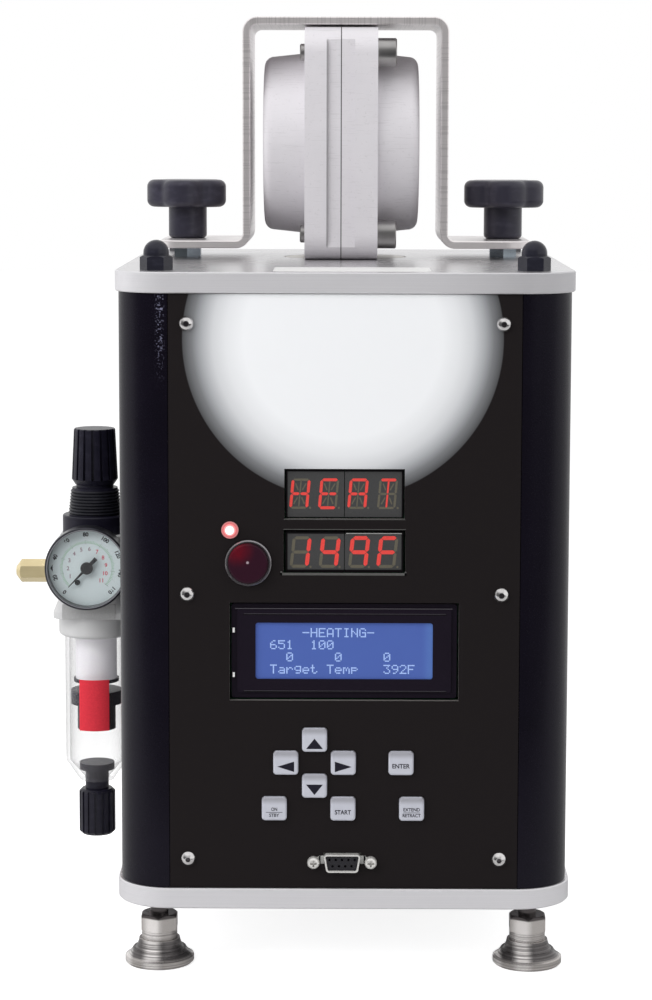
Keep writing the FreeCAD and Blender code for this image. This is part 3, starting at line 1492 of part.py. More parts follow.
def make_fittings():
    """The brass inlet on the left of the regulator and the nipple into the body."""
    face = half("port_span")
    inlet = turned("air_inlet_fitting", [
        ("0", "-port_deep"), ("inlet_thread_dia / 2", "-port_deep"), ("inlet_thread_dia / 2", "0"),
        ("0", "0"),
    ], "%s - %s" % (REGULATOR_X, face), "regulator_back", "-port_drop", FROM_LEFT)
    hexagon = new_sketch(inlet)
    hex_outline(hexagon, "inlet_flats", turn=30)
    pad(inlet, hexagon, "inlet_long")
    nose = new_sketch(inlet, "XZ_Plane")
    outline(nose, [
        ("inlet_tip_dia / 2", "inlet_long"), ("inlet_flats", "inlet_long"),
        ("inlet_flats", "inlet_long - 2 * inlet_nose"),
        ("inlet_flats / sqrt(3)", "inlet_long - inlet_nose"),
    ])
    groove(inlet, nose)
    bore = new_sketch(inlet, offset="inlet_long")
    round_outline(bore, "inlet_bore")
    pocket(inlet, bore, "inlet_long")
    start = "(%s - port_deep)" % face
    wall = "(regulator_reach)"
    bore = "nipple_bore / 2"
    turned("outlet_nipple", [
        (bore, start), ("nipple_dia / 2", start), ("nipple_dia / 2", wall + " - nipple_collar"),
        ("nipple_collar_dia / 2", wall + " - nipple_collar"), ("nipple_collar_dia / 2", wall),
        ("nipple_dia / 2", wall), ("nipple_dia / 2", wall + " + nipple_inside"),
        (bore, wall + " + nipple_inside"),
    ], REGULATOR_X, "regulator_back", "-port_drop", FROM_RIGHT)


def make_gauge():
    """The gauge's case with its well, pivot and stop pin, the pointer and the window."""
    place = ("%s - gauge_side" % REGULATOR_X, "%s - gauge_stand" % REGULATOR_FACE,
             "gauge_up - port_drop", FROM_FRONT)
    radius = "gauge_dia / 2"
    well = "(gauge_dia / 2 - gauge_rim)"
    dial = "(gauge_deep - gauge_well)"
    case = turned("gauge_case", [
        ("0", "-gauge_stem"), ("gauge_stem_dia / 2", "-gauge_stem"), ("gauge_stem_dia / 2", "0"),
        (radius + " - 2 * edge_break", "0"), (radius, "2 * edge_break"),
        (radius, "gauge_deep - edge_break"), (radius + " - edge_break", "gauge_deep"),
        (well, "gauge_deep"), (well, dial), ("0", dial),
    ], *place)
    pins = new_sketch(case, offset=dial)
    round_outline(pins, "stop_dia", "-pin_side", "-pin_down")
    pad(case, pins, "pin_tall")
    pivot = new_sketch(case, offset=dial)
    round_outline(pivot, "pivot_dia")
    pad(case, pivot, "pointer_rise")
    lens_back = "gauge_deep - gauge_lip - gauge_lens"
    lens_front = "gauge_deep - gauge_lip"
    turned("gauge_lens", [
        ("0", lens_back), (well + " - turn_play", lens_back), (well + " - turn_play", lens_front),
        ("0", lens_front),
    ], *place)
    pointer = new_body("gauge_needle", *place)
    blade = new_sketch(pointer, offset=dial + " + pointer_rise")
    outline(blade, [
        ("0", "-pointer_wide / 2"), ("pointer_long", "-pointer_tip / 2"),
        ("pointer_long", "pointer_tip / 2"), ("0", "pointer_wide / 2"),
        ("-pointer_tail", "pointer_tail_wide / 2"), ("-pointer_tail", "-pointer_tail_wide / 2"),
    ])
    sketch_turn(blade, "pointer_zero")
    pad(pointer, blade, "pointer_thick")
    hub = new_sketch(pointer, offset=dial + " + pointer_rise")
    round_outline(hub, "pointer_hub")
    pad(pointer, hub, "pointer_hub_thick")


# Mains inlet on the back

def make_power_inlet():
    """A mains inlet and the well of its rocker in one snap-in housing."""
    body = new_body("power_inlet", "entry_side", SHELL_BACK, "-entry_drop", FROM_BACK)
    flange = new_sketch(body)
    box_outline(flange, "entry_wide + 2 * entry_lip", "entry_tall + 2 * entry_lip",
                corner="entry_corner")
    pad(body, flange, "entry_flange")
    soften(body, "Chamfer", "2 * edge_break", at_level("entry_flange"))
    box = new_sketch(body)
    box_outline(box, "entry_wide", "entry_tall")
    pad(body, box, "entry_deep", downward=True)
    mouth = new_sketch(body, offset="entry_flange")
    side = "(socket_wide / 2)"
    floor, top = "(-socket_down - socket_tall / 2)", "(-socket_down + socket_tall / 2)"
    outline(mouth, [
        (minus(side), floor), (side, floor), (side, top + " - socket_cut"),
        (side + " - socket_cut", top), ("socket_cut - " + side, top),
        (minus(side), top + " - socket_cut"),
    ])
    pocket(body, mouth, "socket_deep")
    blades = new_sketch(body, offset="entry_flange - socket_deep")
    for step in (-1, 0, 1):
        drop = "-blade_shift" if step == 0 else "blade_shift"
        box_outline(blades, "blade_wide", "blade_tall", "%d * blade_step" % step,
                    "-socket_down - (%s)" % drop)
    pad(body, blades, "blade_long")
    well = new_sketch(body, offset="entry_flange")
    box_outline(well, "rocker_wide + 2 * rocker_play", "rocker_tall + 2 * rocker_play",
                y="rocker_up")
    pocket(body, well, "rocker_well")
    bearing = new_sketch(body, "YZ_Plane")
    round_outline(bearing, "rocker_pin + 2 * slide_play", "rocker_up", "entry_flange - rocker_pivot")
    checked_cut(body, "Pocket", Profile=(bearing, [""]), SideType="Symmetric",
                Length="rocker_wide + 2 * rocker_journal + 2 * slide_play")


def make_rocker():
    """The rocker, drawn from its pivot and leaning to the side that is pressed."""
    lean = FreeCAD.Rotation(FreeCAD.Vector(1, 0, 0), value("rocker_tilt / 2"))
    body = new_body("rocker_switch", "entry_side", "%s + entry_flange - rocker_pivot" % SHELL_BACK,
                    "rocker_up - entry_drop", FROM_BACK.multiply(lean))
    end = "(rocker_tall / 2)"
    foot = "(rocker_foot / 2)"
    side = new_sketch(body, "YZ_Plane")
    outline(side, [
        (minus(foot), "rocker_pivot - rocker_belly"), (foot, "rocker_pivot - rocker_belly"),
        (end, "rocker_pivot - rocker_sides"), (end, "rocker_ends"), ("0", "rocker_waist"),
        (minus(end), "rocker_ends"), (minus(end), "rocker_pivot - rocker_sides"),
    ])
    pad(body, side, "rocker_wide", both_ways=True)
    pins = new_sketch(body, "YZ_Plane")
    round_outline(pins, "rocker_pin")
    pad(body, pins, "rocker_wide + 2 * rocker_journal", both_ways=True)


# The whole machine

def make_machine():
    make_plate("base_plate", BASE_UNDER)
    make_top_plate()
    make_shell()
    make_panel()
    make_panel_screws()
    make_tie_rods()
    make_cap_nuts()
    for name, side, end in (("front_left", -1, -1), ("front_right", 1, -1),
                            ("rear_left", -1, 1), ("rear_right", 1, 1)):
        make_foot(name, side, end)
    make_clamp_studs()
    make_bracket()
    make_clamp_knob("left", -1)
    make_clamp_knob("right", 1)
    make_flask()
    make_barrel()
    make_band_heater()
    make_ram()
    make_cylinder()
    make_valve()
    make_board()
    make_display("upper")
    make_display("lower")
    make_lcd()
    make_status_led()
    make_pilot()
    for label, (x, z) in KEY_PLACES.items():
        make_key(label, x, z)
    make_serial_connector()
    make_regulator_body()
    make_bonnet()
    make_adjusting_stem()
    make_regulator_knob()
    make_bowl()
    make_filter_inside()
    make_drain_knob()
    make_fittings()
    make_gauge()
    make_power_inlet()
    make_rocker()


def export_all():
    """Checks every object of the document and writes each piece to its own file."""
    doc.recompute()
    for item in doc.Objects:
        if {"Invalid", "Error"} & set(item.State):
            raise ValueError("%s did not build: %s" % (item.Label, item.State))
    os.makedirs("parts", exist_ok=True)
    pieces = [item for item in doc.Objects if item.TypeId == "PartDesign::Body"]
    for piece in pieces:
        if piece.Shape.isNull() or not piece.Shape.isValid():
            raise ValueError(piece.Label + " has no valid shape")
    for piece in pieces:
        piece.Shape.exportStep("parts/%s.step" % piece.Label)
    print(len(pieces), "pieces written")


make_machine()
export_all()
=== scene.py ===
import math

import bmesh
import bpy
from mathutils import Matrix, Vector


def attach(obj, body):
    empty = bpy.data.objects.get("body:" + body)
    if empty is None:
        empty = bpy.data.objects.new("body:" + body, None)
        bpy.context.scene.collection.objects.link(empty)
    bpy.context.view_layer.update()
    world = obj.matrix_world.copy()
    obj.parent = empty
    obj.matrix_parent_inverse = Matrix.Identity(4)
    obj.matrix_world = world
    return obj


# Looks of a denture injection molding machine: finishes, displays, dial, legends and small trim.
# Lengths are in millimetres and turn into metres where a mesh is made.

MM = 0.001

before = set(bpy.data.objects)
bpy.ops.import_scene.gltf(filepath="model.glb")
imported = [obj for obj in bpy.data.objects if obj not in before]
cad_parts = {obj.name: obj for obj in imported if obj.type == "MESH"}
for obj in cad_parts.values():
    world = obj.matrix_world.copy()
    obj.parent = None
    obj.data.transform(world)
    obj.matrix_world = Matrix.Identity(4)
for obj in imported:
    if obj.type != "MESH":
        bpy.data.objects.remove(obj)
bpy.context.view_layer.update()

# Levels along Y, which the trim shares with the CAD model
PANEL_FRONT = -153.5
FACE_FRONT = -151.9
GLASS_FRONT = -150.9
KEY_FRONT = -155.2
SCREW_CROWN = -155.3
SCREW_RIM = -153.9
SHELL_RIM = -155.5
CARD_FRONT = -145.4
SWITCH_FRONT = -140.25
FLASK_RECESS = -43.5
DIAL_FRONT = -4.5
WELL_MOUTH = -4.15

# Places in the front view, as X and Z with a radius or a width and height where there is one
DISC = (-0.9, -28.7, 68.7)
DISPLAY_ROWS = ((-105.4, -85.7), (-128.3, -112.7))
LED = (-49.3, -110.9, 3.8)
PILOT = (-41.4, -125.2)
LCD_GLASS = (0.0, -164.1, 76.8, 24.8)
SOCKET = (-0.6, -257.3)
GAUGE = (-125.3, -151.5)
WELL_RADIUS = 18.75
INLET = (48.0, -236.5)
PARTING = -2.0

# Places in the plan view, as X and Y, and levels along Z
REGULATOR = (-123.6, 22.0)
FOOT_SIDE = 81.75
HEXAGON_BROW = -286.8
HEXAGON_FOOT = -292.9
CONE = (-303.6, -296.6)
STRAP_BEND = 104.0
SOLE = -307.6
KEYS = {
    "up": (-12.7, -202.8), "down": (-12.7, -223.2), "left": (-25.2, -213.0),
    "right": (-0.2, -213.0), "enter": (24.9, -213.0), "standby": (-30.2, -233.3),
    "start": (-0.3, -233.3), "extend": (29.6, -233.3),
}


# Shader maths

class Value:
    """A shader socket that carries a number. Sums and products of it add Math nodes."""

    def __init__(self, finish, socket):
        self.finish = finish
        self.socket = socket

    def worked(self, operation, *values):
        return self.finish.node("Math", {"operation": operation}, dict(enumerate(values)))

    def __add__(self, other):
        return self.worked("ADD", self, other)

    __radd__ = __add__

    def __sub__(self, other):
        return self.worked("SUBTRACT", self, other)

    def __rsub__(self, other):
        return self.worked("SUBTRACT", other, self)

    def __mul__(self, other):
        return self.worked("MULTIPLY", self, other)

    __rmul__ = __mul__

    def __truediv__(self, other):
        return self.worked("DIVIDE", self, other)

    def __pow__(self, power):
        return self.worked("POWER", self, power)

    def __abs__(self):
        return self.worked("ABSOLUTE", self)


class Shading:
    """A node tree, with one way to add any node and a few that are used often."""

    def __init__(self, tree, shader):
        self.tree = tree
        self.shader = tree.nodes[shader]

    def node(self, kind, settings=(), inputs=(), output=0):
        made = self.tree.nodes.new("ShaderNode" + kind)
        for name, setting in dict(settings).items():
            if name == "stops":
                ramp = made.color_ramp.elements
                while len(ramp) < len(setting):
                    ramp.new(1.0)
                for element, (position, colour) in zip(ramp, setting):
                    element.position = position
                    element.color = (*colour, 1.0)
            else:
                setattr(made, name, setting)
        for key, setting in dict(inputs).items():
            self.fill(made.inputs[key], setting)
        return made if output is None else Value(self, made.outputs[output])

    def parts(self, vector):
        outputs = self.node("SeparateXYZ", inputs={0: vector}, output=None).outputs
        return [Value(self, part) for part in outputs]

    def fill(self, socket, setting):
        if isinstance(setting, Value):
            self.tree.links.new(setting.socket, socket)
        else:
            socket.default_value = setting

    def put(self, settings):
        for name, setting in settings.items():
            self.fill(self.shader.inputs[name], setting)

    def step(self, value, low, high):
        """0 below low, 1 above high and a smooth rise between."""
        return self.node("MapRange", {"interpolation_type": "SMOOTHSTEP"},
                         {"Value": value, "From Min": low, "From Max": high})

    def larger(self, first, second):
        return self.node("Math", {"operation": "MAXIMUM"}, {0: first, 1: second})

    def between(self, value, low, high, blur=0.1):
        rise = self.step(value, low - blur, low + blur)
        return rise * (1 - self.step(value, high - blur, high + blur))

    def mix(self, factor, first, second):
        inputs = {0: factor}
        for index, colour in ((6, first), (7, second)):
            inputs[index] = colour if isinstance(colour, Value) else (*colour, 1.0)
        return self.node("Mix", {"data_type": "RGBA"}, inputs, 2)


class Finish(Shading):
    """A procedural material. Places on the object are in millimetres of the machine's frame."""

    def __init__(self, name, colour, roughness=0.5, metallic=0.0, **more):
        self.material = bpy.data.materials.new(name)
        self.material.use_nodes = True
        super().__init__(self.material.node_tree, "Principled BSDF")
        self.put({"Base Color": (*colour, 1.0), "Roughness": roughness, "Metallic": metallic})
        self.put({key.replace("_", " "): setting for key, setting in more.items()})
        self.points = self.node("TexCoord", output="Object")
        self.x, self.y, self.z = (part * (1 / MM) for part in self.parts(self.points))

    def facing(self, axis):
        """How squarely the surface faces along an axis of the machine, 0 to 1."""
        return abs(self.parts(self.node("TexCoord", output="Normal"))["XYZ".index(axis)])

    def stretched(self, sizes):
        """The object's points, squeezed so that a pattern of one unit has these sizes in mm."""
        scale = tuple(1 / (MM * size) for size in sizes)
        return self.node("VectorMath", {"operation": "MULTIPLY"},
                         {0: self.points, 1: scale}, "Vector")

    def noise(self, *sizes, detail=3.0, roughness=0.55):
        sizes = sizes * 3 if len(sizes) == 1 else sizes
        return self.node("TexNoise", {}, {"Vector": self.stretched(sizes), "Scale": 1.0,
                                          "Detail": detail, "Roughness": roughness})

    def radius(self, x, z, across=None):
        """Distance in mm from a line along Y through x, z, or along Z where across is Y."""
        other = self.y if across == "Y" else self.z
        return ((self.x - x) ** 2.0 + (other - z) ** 2.0) ** 0.5

    def bump(self, height, depth, strength=1.0):
        """Raises the surface by height times depth, which is in mm."""
        self.put({"Normal": self.node("Bump", {}, {"Height": height, "Distance": depth * MM,
                                                   "Strength": strength}, "Normal")})


def dress(finish, *nodes):
    """Gives a finish to nodes of the CAD model."""
    for name in nodes:
        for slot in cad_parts[name].material_slots:
            slot.material = finish.material


# Finishes

def brushed_plate():
    """Anodised aluminium plate with lines along its rim and a fine blasted face.
    Painted shade darkens the upper plate's rim towards its right.
    """
    plate = Finish("brushed_plate", (0.55, 0.54, 0.56), 0.34, 0.8)
    face = plate.step(plate.facing("Z"), 0.6, 0.9)
    lines = plate.noise(60, 60, 0.12, detail=2.0)
    grain = plate.noise(0.35, detail=2.0)
    cloud = plate.noise(24, detail=2.0)
    tone = plate.mix(face, plate.mix(lines, (0.68, 0.67, 0.70), (0.82, 0.81, 0.83)),
                     plate.mix(cloud, (0.58, 0.57, 0.59), (0.66, 0.65, 0.66)))
    # painted shade: the upper plate's rim darkens towards its right end
    wear_and_shade = plate.step(plate.x, 30.0, 95.0) * plate.step(plate.z, -200.0, -100.0)
    tone = plate.mix(wear_and_shade * 0.5 * (1 - face), tone, (0.36, 0.355, 0.37))
    plate.put({"Base Color": tone, "Metallic": 0.35 + 0.45 * face,
               "Roughness": 0.32 - 0.10 * face + 0.10 * lines})
    plate.bump(face * grain + (1 - face) * lines, 0.02, 0.6)
    return plate


def powder_coat():
    """Satin black powder coat with a fine orange peel, and a painted glint at its left front edge.
    """
    coat = Finish("powder_coat", (0.004, 0.003, 0.006), 0.34, Specular_IOR_Level=0.20,
                  Specular_Tint=(0.88, 0.86, 1.0, 1.0))
    grain = coat.noise(0.55, detail=3.0)
    cloud = coat.noise(30, detail=2.0)
    # painted highlight: bright flecks near the left front corner, fading downwards
    painted_glint_flecks = coat.step(coat.noise(0.9, detail=2.0), 0.54, 0.68) * coat.step(coat.z, -52.0, -15.0)
    corner = coat.between(coat.x, -80.9, -77.6, 0.9) * (1 - coat.step(coat.y, -140.0, -130.0))
    black = coat.mix(cloud, (0.003, 0.0022, 0.005), (0.006, 0.0045, 0.010))
    coat.put({"Base Color": coat.mix(painted_glint_flecks * corner, black, (0.20, 0.20, 0.29)),
              "Roughness": 0.20 + 0.12 * grain})
    coat.bump(grain, 0.05, 0.7)
    return coat


def panel_print():
    """Matt black panel with a plain pale disc that fades towards its rim, and bare cut edges."""
    panel = Finish("panel_print", (0.012, 0.010, 0.011), 0.55, Specular_IOR_Level=0.06)
    x, z, size = DISC
    reach = panel.radius(x, z)
    fade = panel.node("ValToRGB", {"stops": [
        (0.0, (0.90, 0.91, 0.93)), (0.62, (0.90, 0.91, 0.93)), (0.73, (0.80, 0.81, 0.83)),
        (0.81, (0.66, 0.67, 0.69)), (0.88, (0.42, 0.43, 0.45)), (0.94, (0.20, 0.205, 0.215)),
        (1.0, (0.075, 0.076, 0.080))]}, {0: reach / size})
    disc = 1 - panel.step(reach, size - 0.25, size + 0.25)
    dust = panel.noise(0.5, detail=2.0)
    black = panel.mix(dust, (0.0125, 0.0102, 0.0108), (0.0160, 0.0132, 0.0138))
    bare = 1 - panel.step(panel.facing("Y"), 0.4, 0.7)
    printed = panel.mix(disc, black, fade)
    panel.put({"Base Color": panel.mix(bare, printed, (0.26, 0.25, 0.24)),
               "Metallic": bare * 0.3, "Roughness": 0.50 - 0.16 * bare + 0.08 * dust})
    panel.bump(dust, 0.01, 0.4)
    return panel


def turned_metal(name, dark, light, roughness, pitch, depth=0.03, metallic=1.0):
    """Turned metal: rings round an upright axis and a little tarnish."""
    metal = Finish(name, light, roughness, metallic)
    rings = metal.noise(900, 900, pitch, detail=2.0)
    cloud = metal.noise(9, detail=3.0)
    metal.put({"Base Color": metal.mix(cloud * 0.6 + rings * 0.4, dark, light),
               "Roughness": roughness - 0.06 + 0.12 * cloud})
    metal.bump(rings, depth, 0.8)
    return metal


def screw_finish():
    """Chromed button head whose hexagon socket is painted dark as shade."""
    chrome = Finish("screw_chrome", (0.6, 0.6, 0.6), 0.1, 1.0)
    cloud = chrome.noise(2, detail=2.0)
    # painted shade: the floor of the hexagon socket is darkened
    socket = (chrome.step(chrome.facing("Y"), 0.93, 0.98)
              * chrome.between(chrome.y, SCREW_CROWN, SCREW_RIM, 0.05))
    polished = chrome.mix(cloud, (0.50, 0.48, 0.48), (0.86, 0.85, 0.85))
    chrome.put({"Base Color": chrome.mix(socket, polished, (0.13, 0.12, 0.13)),
                "Roughness": 0.08 + 0.10 * cloud + 0.2 * socket})
    return chrome


def foot_finish():
    """Bright nickel with painted reflections: a hexagon with a painted dark brow, a cone
    painted dark, turned rings partly painted as dark bands, and painted glints.
    """
    nickel = Finish("turned_foot", (0.62, 0.59, 0.57), 0.14, 0.8)
    # rings: real turned rings in the bump, and painted dark reflection bands in the colour
    rings = nickel.step(nickel.noise(900, 900, 0.75, detail=3.0, roughness=0.7), 0.42, 0.60)
    turned = 1 - nickel.step(nickel.z, HEXAGON_FOOT - 0.3, HEXAGON_FOOT + 0.3)
    cone = nickel.between(nickel.z, *CONE, 0.3)
    # painted highlight: bright stripes at set places across each foot
    side = nickel.node("Math", {"operation": "SIGN"}, {0: nickel.x})
    across = nickel.x - side * FOOT_SIDE
    painted_highlight = nickel.larger(nickel.between(across, -6.0, 0.5, 2.0),
                          nickel.between(across, -16.0, -12.0, 1.2))
    # painted reflection: the top of the hexagon is darkened
    brow = nickel.step(nickel.z, HEXAGON_BROW - 0.4, HEXAGON_BROW + 0.4)
    hexagon = nickel.mix(brow, (0.52, 0.49, 0.47), (0.10, 0.09, 0.09))
    # painted reflection: the cone is darkened
    metal = nickel.mix(cone, hexagon, (0.15, 0.14, 0.14))
    bright = nickel.mix(painted_highlight * (1 - brow), metal, (0.97, 0.93, 0.91))
    depth = nickel.larger(turned * 0.45, cone * 0.75)
    nickel.put({"Base Color": nickel.mix((1 - rings) * depth, bright, (0.06, 0.055, 0.055)),
                "Roughness": 0.12 + 0.10 * rings,
                "Metallic": 0.8 - 0.5 * painted_highlight * cone})
    nickel.bump(rings * turned, 0.05, 0.8)
    return nickel


def plated(name, dark, light, roughness):
    """Plain metal with a fine grain and cloudy tarnish."""
    metal = Finish(name, light, roughness, 1.0)
    fine = metal.noise(0.4, detail=2.0)
    cloud = metal.noise(12, detail=3.0)
    metal.put({"Base Color": metal.mix(cloud, dark, light),
               "Roughness": roughness - 0.05 + 0.10 * fine})
    metal.bump(fine, 0.01, 0.6)
    return metal


def strap_finish():
    """Rolled bar with short ground marks across its edge, which turn with its bends."""
    strap = Finish("ground_strap", (0.88, 0.84, 0.84), 0.3, 0.7)
    level = strap.step(strap.z, STRAP_BEND - 2.0, STRAP_BEND + 2.0)
    lines = (level * strap.noise(0.7, 60, 60, detail=3.0)
             + (1 - level) * strap.noise(60, 60, 0.7, detail=3.0))
    grain = strap.noise(0.7, detail=3.0)
    cloud = strap.noise(18, detail=3.0)
    tone = strap.mix(cloud, (0.82, 0.775, 0.775), (0.96, 0.92, 0.92))
    marks = strap.step(lines, 0.50, 0.62) * 0.2
    strap.put({"Base Color": strap.mix(marks, tone, (0.30, 0.28, 0.28)),
               "Roughness": 0.26 + 0.12 * grain})
    strap.bump(lines * 0.4 + grain * 0.6, 0.03, 0.6)
    return strap


def moulded(name, colour, roughness, grain=0.4, depth=0.02, gloss=0.3):
    """Moulded plastic with a fine spark-eroded texture and slight scuffs."""
    plastic = Finish(name, colour, roughness, Specular_IOR_Level=gloss)
    fine = plastic.noise(grain, detail=2.0)
    scuff = plastic.noise(7, 7, 3, detail=4.0)
    pale = tuple(min(1.0, c * 1.5 + 0.004) for c in colour)
    plastic.put({"Base Color": plastic.mix(plastic.step(scuff, 0.45, 0.8), colour, pale),
                 "Roughness": roughness - 0.05 + 0.12 * fine})
    plastic.bump(fine, depth, 0.6)
    return plastic


def cast_flask():
    """Cast aluminium: a pebbled, scratched skin with a dark line where the halves meet,
    and a painted shadow along the left step of the front recess.
    """
    cast = Finish("cast_flask", (0.72, 0.70, 0.73), 0.5, 0.25)
    pebble = cast.noise(0.8, detail=4.0, roughness=0.65)
    cloud = cast.noise(16, detail=4.0)
    pits = cast.step(cast.noise(1.3, detail=2.0), 0.62, 0.74)
    shade = cast.mix(cloud, (0.79, 0.765, 0.80), (0.88, 0.855, 0.89))
    scratch = cast.step(cast.noise(9, 9, 0.5, detail=3.0), 0.60, 0.66) * 0.14
    wear_and_shade = cast.mix(cast.larger(pits * 0.15, scratch), shade, (0.40, 0.38, 0.39))
    seam = cast.between(cast.x, PARTING - 0.22, PARTING + 0.22, 0.08)
    # painted shadow: a dark band along the left step of the front recess only
    recess = (cast.between(cast.x, -8.8, -8.0, 0.25)
              * (1 - cast.step(cast.y, FLASK_RECESS - 0.5, FLASK_RECESS + 0.5)))
    seam_and_step_shadow = cast.larger(seam, recess * 0.6)
    cast.put({"Base Color": cast.mix(seam_and_step_shadow, wear_and_shade, (0.03, 0.027, 0.03)),
              "Roughness": 0.46 + 0.14 * pebble})
    cast.bump(pebble - 0.5 * pits - 0.4 * scratch, 0.10, 0.7)
    return cast


def regulator_cast():
    """Die-cast body, painted pale grey."""
    paint = Finish("regulator_cast", (0.55, 0.55, 0.57), 0.38)
    peel = paint.noise(0.9, detail=2.0)
    cloud = paint.noise(14, detail=3.0)
    paint.put({"Base Color": paint.mix(cloud, (0.65, 0.65, 0.655), (0.72, 0.72, 0.725)),
               "Roughness": 0.32 + 0.12 * peel})
    paint.bump(peel, 0.03, 0.6)
    return paint


def display_face():
    """Smoked face of a segment display with black borders and grey sides."""
    face = Finish("display_face", (0.06, 0.055, 0.062), 0.30, Specular_IOR_Level=0.12)
    speckle_and_glint = face.noise(0.6, detail=2.0)
    front = 1 - face.step(face.y, FACE_FRONT + 0.1, FACE_FRONT + 0.4)
    rows = face.larger(*(face.between(face.z, *row, 0.08) for row in DISPLAY_ROWS))
    smoked = face.mix(speckle_and_glint, (0.052, 0.052, 0.053), (0.072, 0.072, 0.073))
    faced = face.mix(rows * face.between(face.x, -24.5, 24.6, 0.08), (0.006, 0.005, 0.006), smoked)
    face.put({"Base Color": face.mix(front, (0.05, 0.05, 0.05), faced),
              "Roughness": 0.24 + 0.12 * speckle_and_glint})
    return face


def glowing(name, colour, strength):
    """A lit colour with a slight unevenness."""
    light = Finish(name, colour, 0.4, Specular_IOR_Level=0.2)
    uneven = light.noise(0.5, detail=1.0)
    pale = tuple(min(1.0, c * 1.25 + 0.03) for c in colour)
    lit = light.mix(uneven, colour, pale)
    light.put({"Base Color": lit, "Emission Color": lit, "Emission Strength": strength})
    return light


def lcd_finish():
    """Black metal frame round a lit blue glass, green card behind."""
    lcd = Finish("lcd_frame", (0.02, 0.018, 0.022), 0.3, Specular_IOR_Level=0.08)
    x, z, wide, tall = LCD_GLASS
    inside = (lcd.between(lcd.x, x - wide / 2, x + wide / 2, 0.05)
              * lcd.between(lcd.z, z - tall / 2, z + tall / 2, 0.05)
              * (1 - lcd.step(lcd.y, GLASS_FRONT + 0.05, GLASS_FRONT + 0.2))
              * lcd.step(lcd.y, GLASS_FRONT - 0.2, GLASS_FRONT - 0.05))
    edge = lcd.step(lcd.x, 33.0, 39.5)
    wave = lcd.noise(22, detail=2.0)
    blue = lcd.mix(edge, lcd.mix(wave, (0.060, 0.100, 0.335), (0.068, 0.118, 0.365)),
                   (0.088, 0.168, 0.440))
    card = lcd.step(lcd.y, CARD_FRONT - 0.2, CARD_FRONT + 0.2)
    grain = lcd.noise(0.5, detail=2.0)
    black = lcd.mix(grain, (0.010, 0.007, 0.013), (0.014, 0.010, 0.018))
    body = lcd.mix(card, black, (0.02, 0.10, 0.05))
    lcd.put({"Base Color": lcd.mix(inside, body, blue),
             "Emission Color": lcd.mix(inside, (0, 0, 0), blue), "Emission Strength": 0.25,
             "Roughness": 0.30 + 0.15 * grain})
    return lcd


def led_finish():
    """A lit diode: white-hot in its middle, pink at its collar."""
    led = Finish("lit_diode", (0.9, 0.5, 0.5), 0.25)
    x, z, size = LED
    tone = led.node("ValToRGB", {"stops": [
        (0.0, (1.0, 1.0, 1.0)), (0.40, (1.0, 0.92, 0.91)), (0.56, (0.78, 0.28, 0.27)),
        (0.74, (0.42, 0.09, 0.10)), (0.88, (0.40, 0.13, 0.13)), (1.0, (0.26, 0.12, 0.12))]},
        {0: led.radius(x, z) / size})
    led.put({"Base Color": tone, "Emission Color": tone, "Emission Strength": 0.85,
             "Roughness": 0.18 + 0.1 * led.noise(0.6)})
    return led


def pilot_finish():
    """Dark red moulded lens with a painted red glow towards its upper left, darker towards
    its rim, and a painted glint in its middle.
    """
    x, z = PILOT
    lens = Finish("pilot_lens", (0.05, 0.006, 0.009), 0.16, Specular_IOR_Level=0.12)
    # painted light: a red glow at the lens's upper left
    glow = 1 - lens.step(lens.radius(x - 4.5, z + 6.0), 0.5, 8.5)
    rim = lens.step(lens.radius(x, z), 7.5, 9.4)
    # painted highlight: a pale glint in the middle of the lens
    speckle_and_glint = 1 - lens.step(lens.radius(x - 0.2, z + 0.6), 0.3, 0.8)
    swirl = lens.noise(3, detail=2.0)
    dark = lens.mix(rim, (0.030, 0.008, 0.017), (0.016, 0.005, 0.009))
    red = lens.mix(glow * (0.6 + swirl * 0.8), dark, (0.115, 0.005, 0.013))
    lens.put({"Base Color": lens.mix(speckle_and_glint * 0.7, red, (0.55, 0.45, 0.50)),
              "Roughness": 0.16 + 0.12 * swirl})
    return lens


def key_finish():
    """Pale silver key with painted shade over its upper slope."""
    key = Finish("key_silver", (0.42, 0.43, 0.50), 0.36, Specular_IOR_Level=0.3)
    grain = key.noise(0.35, detail=2.0)
    cloud = key.noise(5, detail=2.0)
    # painted shade: each key row darkens over its upper slope
    rise = key.node("Math", {"operation": "FLOORED_MODULO"}, {0: key.z + 207.9, 1: 10.17})
    slope = key.step(rise, 6.6, 9.6)
    face = key.mix(cloud, (0.54, 0.55, 0.62), (0.60, 0.61, 0.68))
    key.put({"Base Color": key.mix(slope, face, (0.36, 0.36, 0.40)),
             "Roughness": 0.32 + 0.12 * grain})
    key.bump(grain, 0.01, 0.5)
    return key


def socket_finish():
    """Tinned shell round a black insert."""
    socket = Finish("serial_socket", (0.70, 0.69, 0.66), 0.25, 1.0)
    x, z = SOCKET
    across = abs(socket.x - x) + (z + 4.0 - socket.z) * 0.1625
    up = abs(socket.z - z)
    insert = ((1 - socket.step(across, 7.38, 7.48)) * (1 - socket.step(up, 3.25, 3.32))
              * socket.step(socket.y, SHELL_RIM - 0.1, SHELL_RIM + 0.1))
    cloud = socket.noise(3, detail=3.0)
    metal = socket.mix(cloud, (0.68, 0.66, 0.63), (0.92, 0.91, 0.89))
    socket.put({"Base Color": socket.mix(insert, metal, (0.012, 0.011, 0.016)),
                "Metallic": (1 - insert) * 0.5, "Roughness": 0.22 + 0.12 * cloud + 0.2 * insert})
    return socket


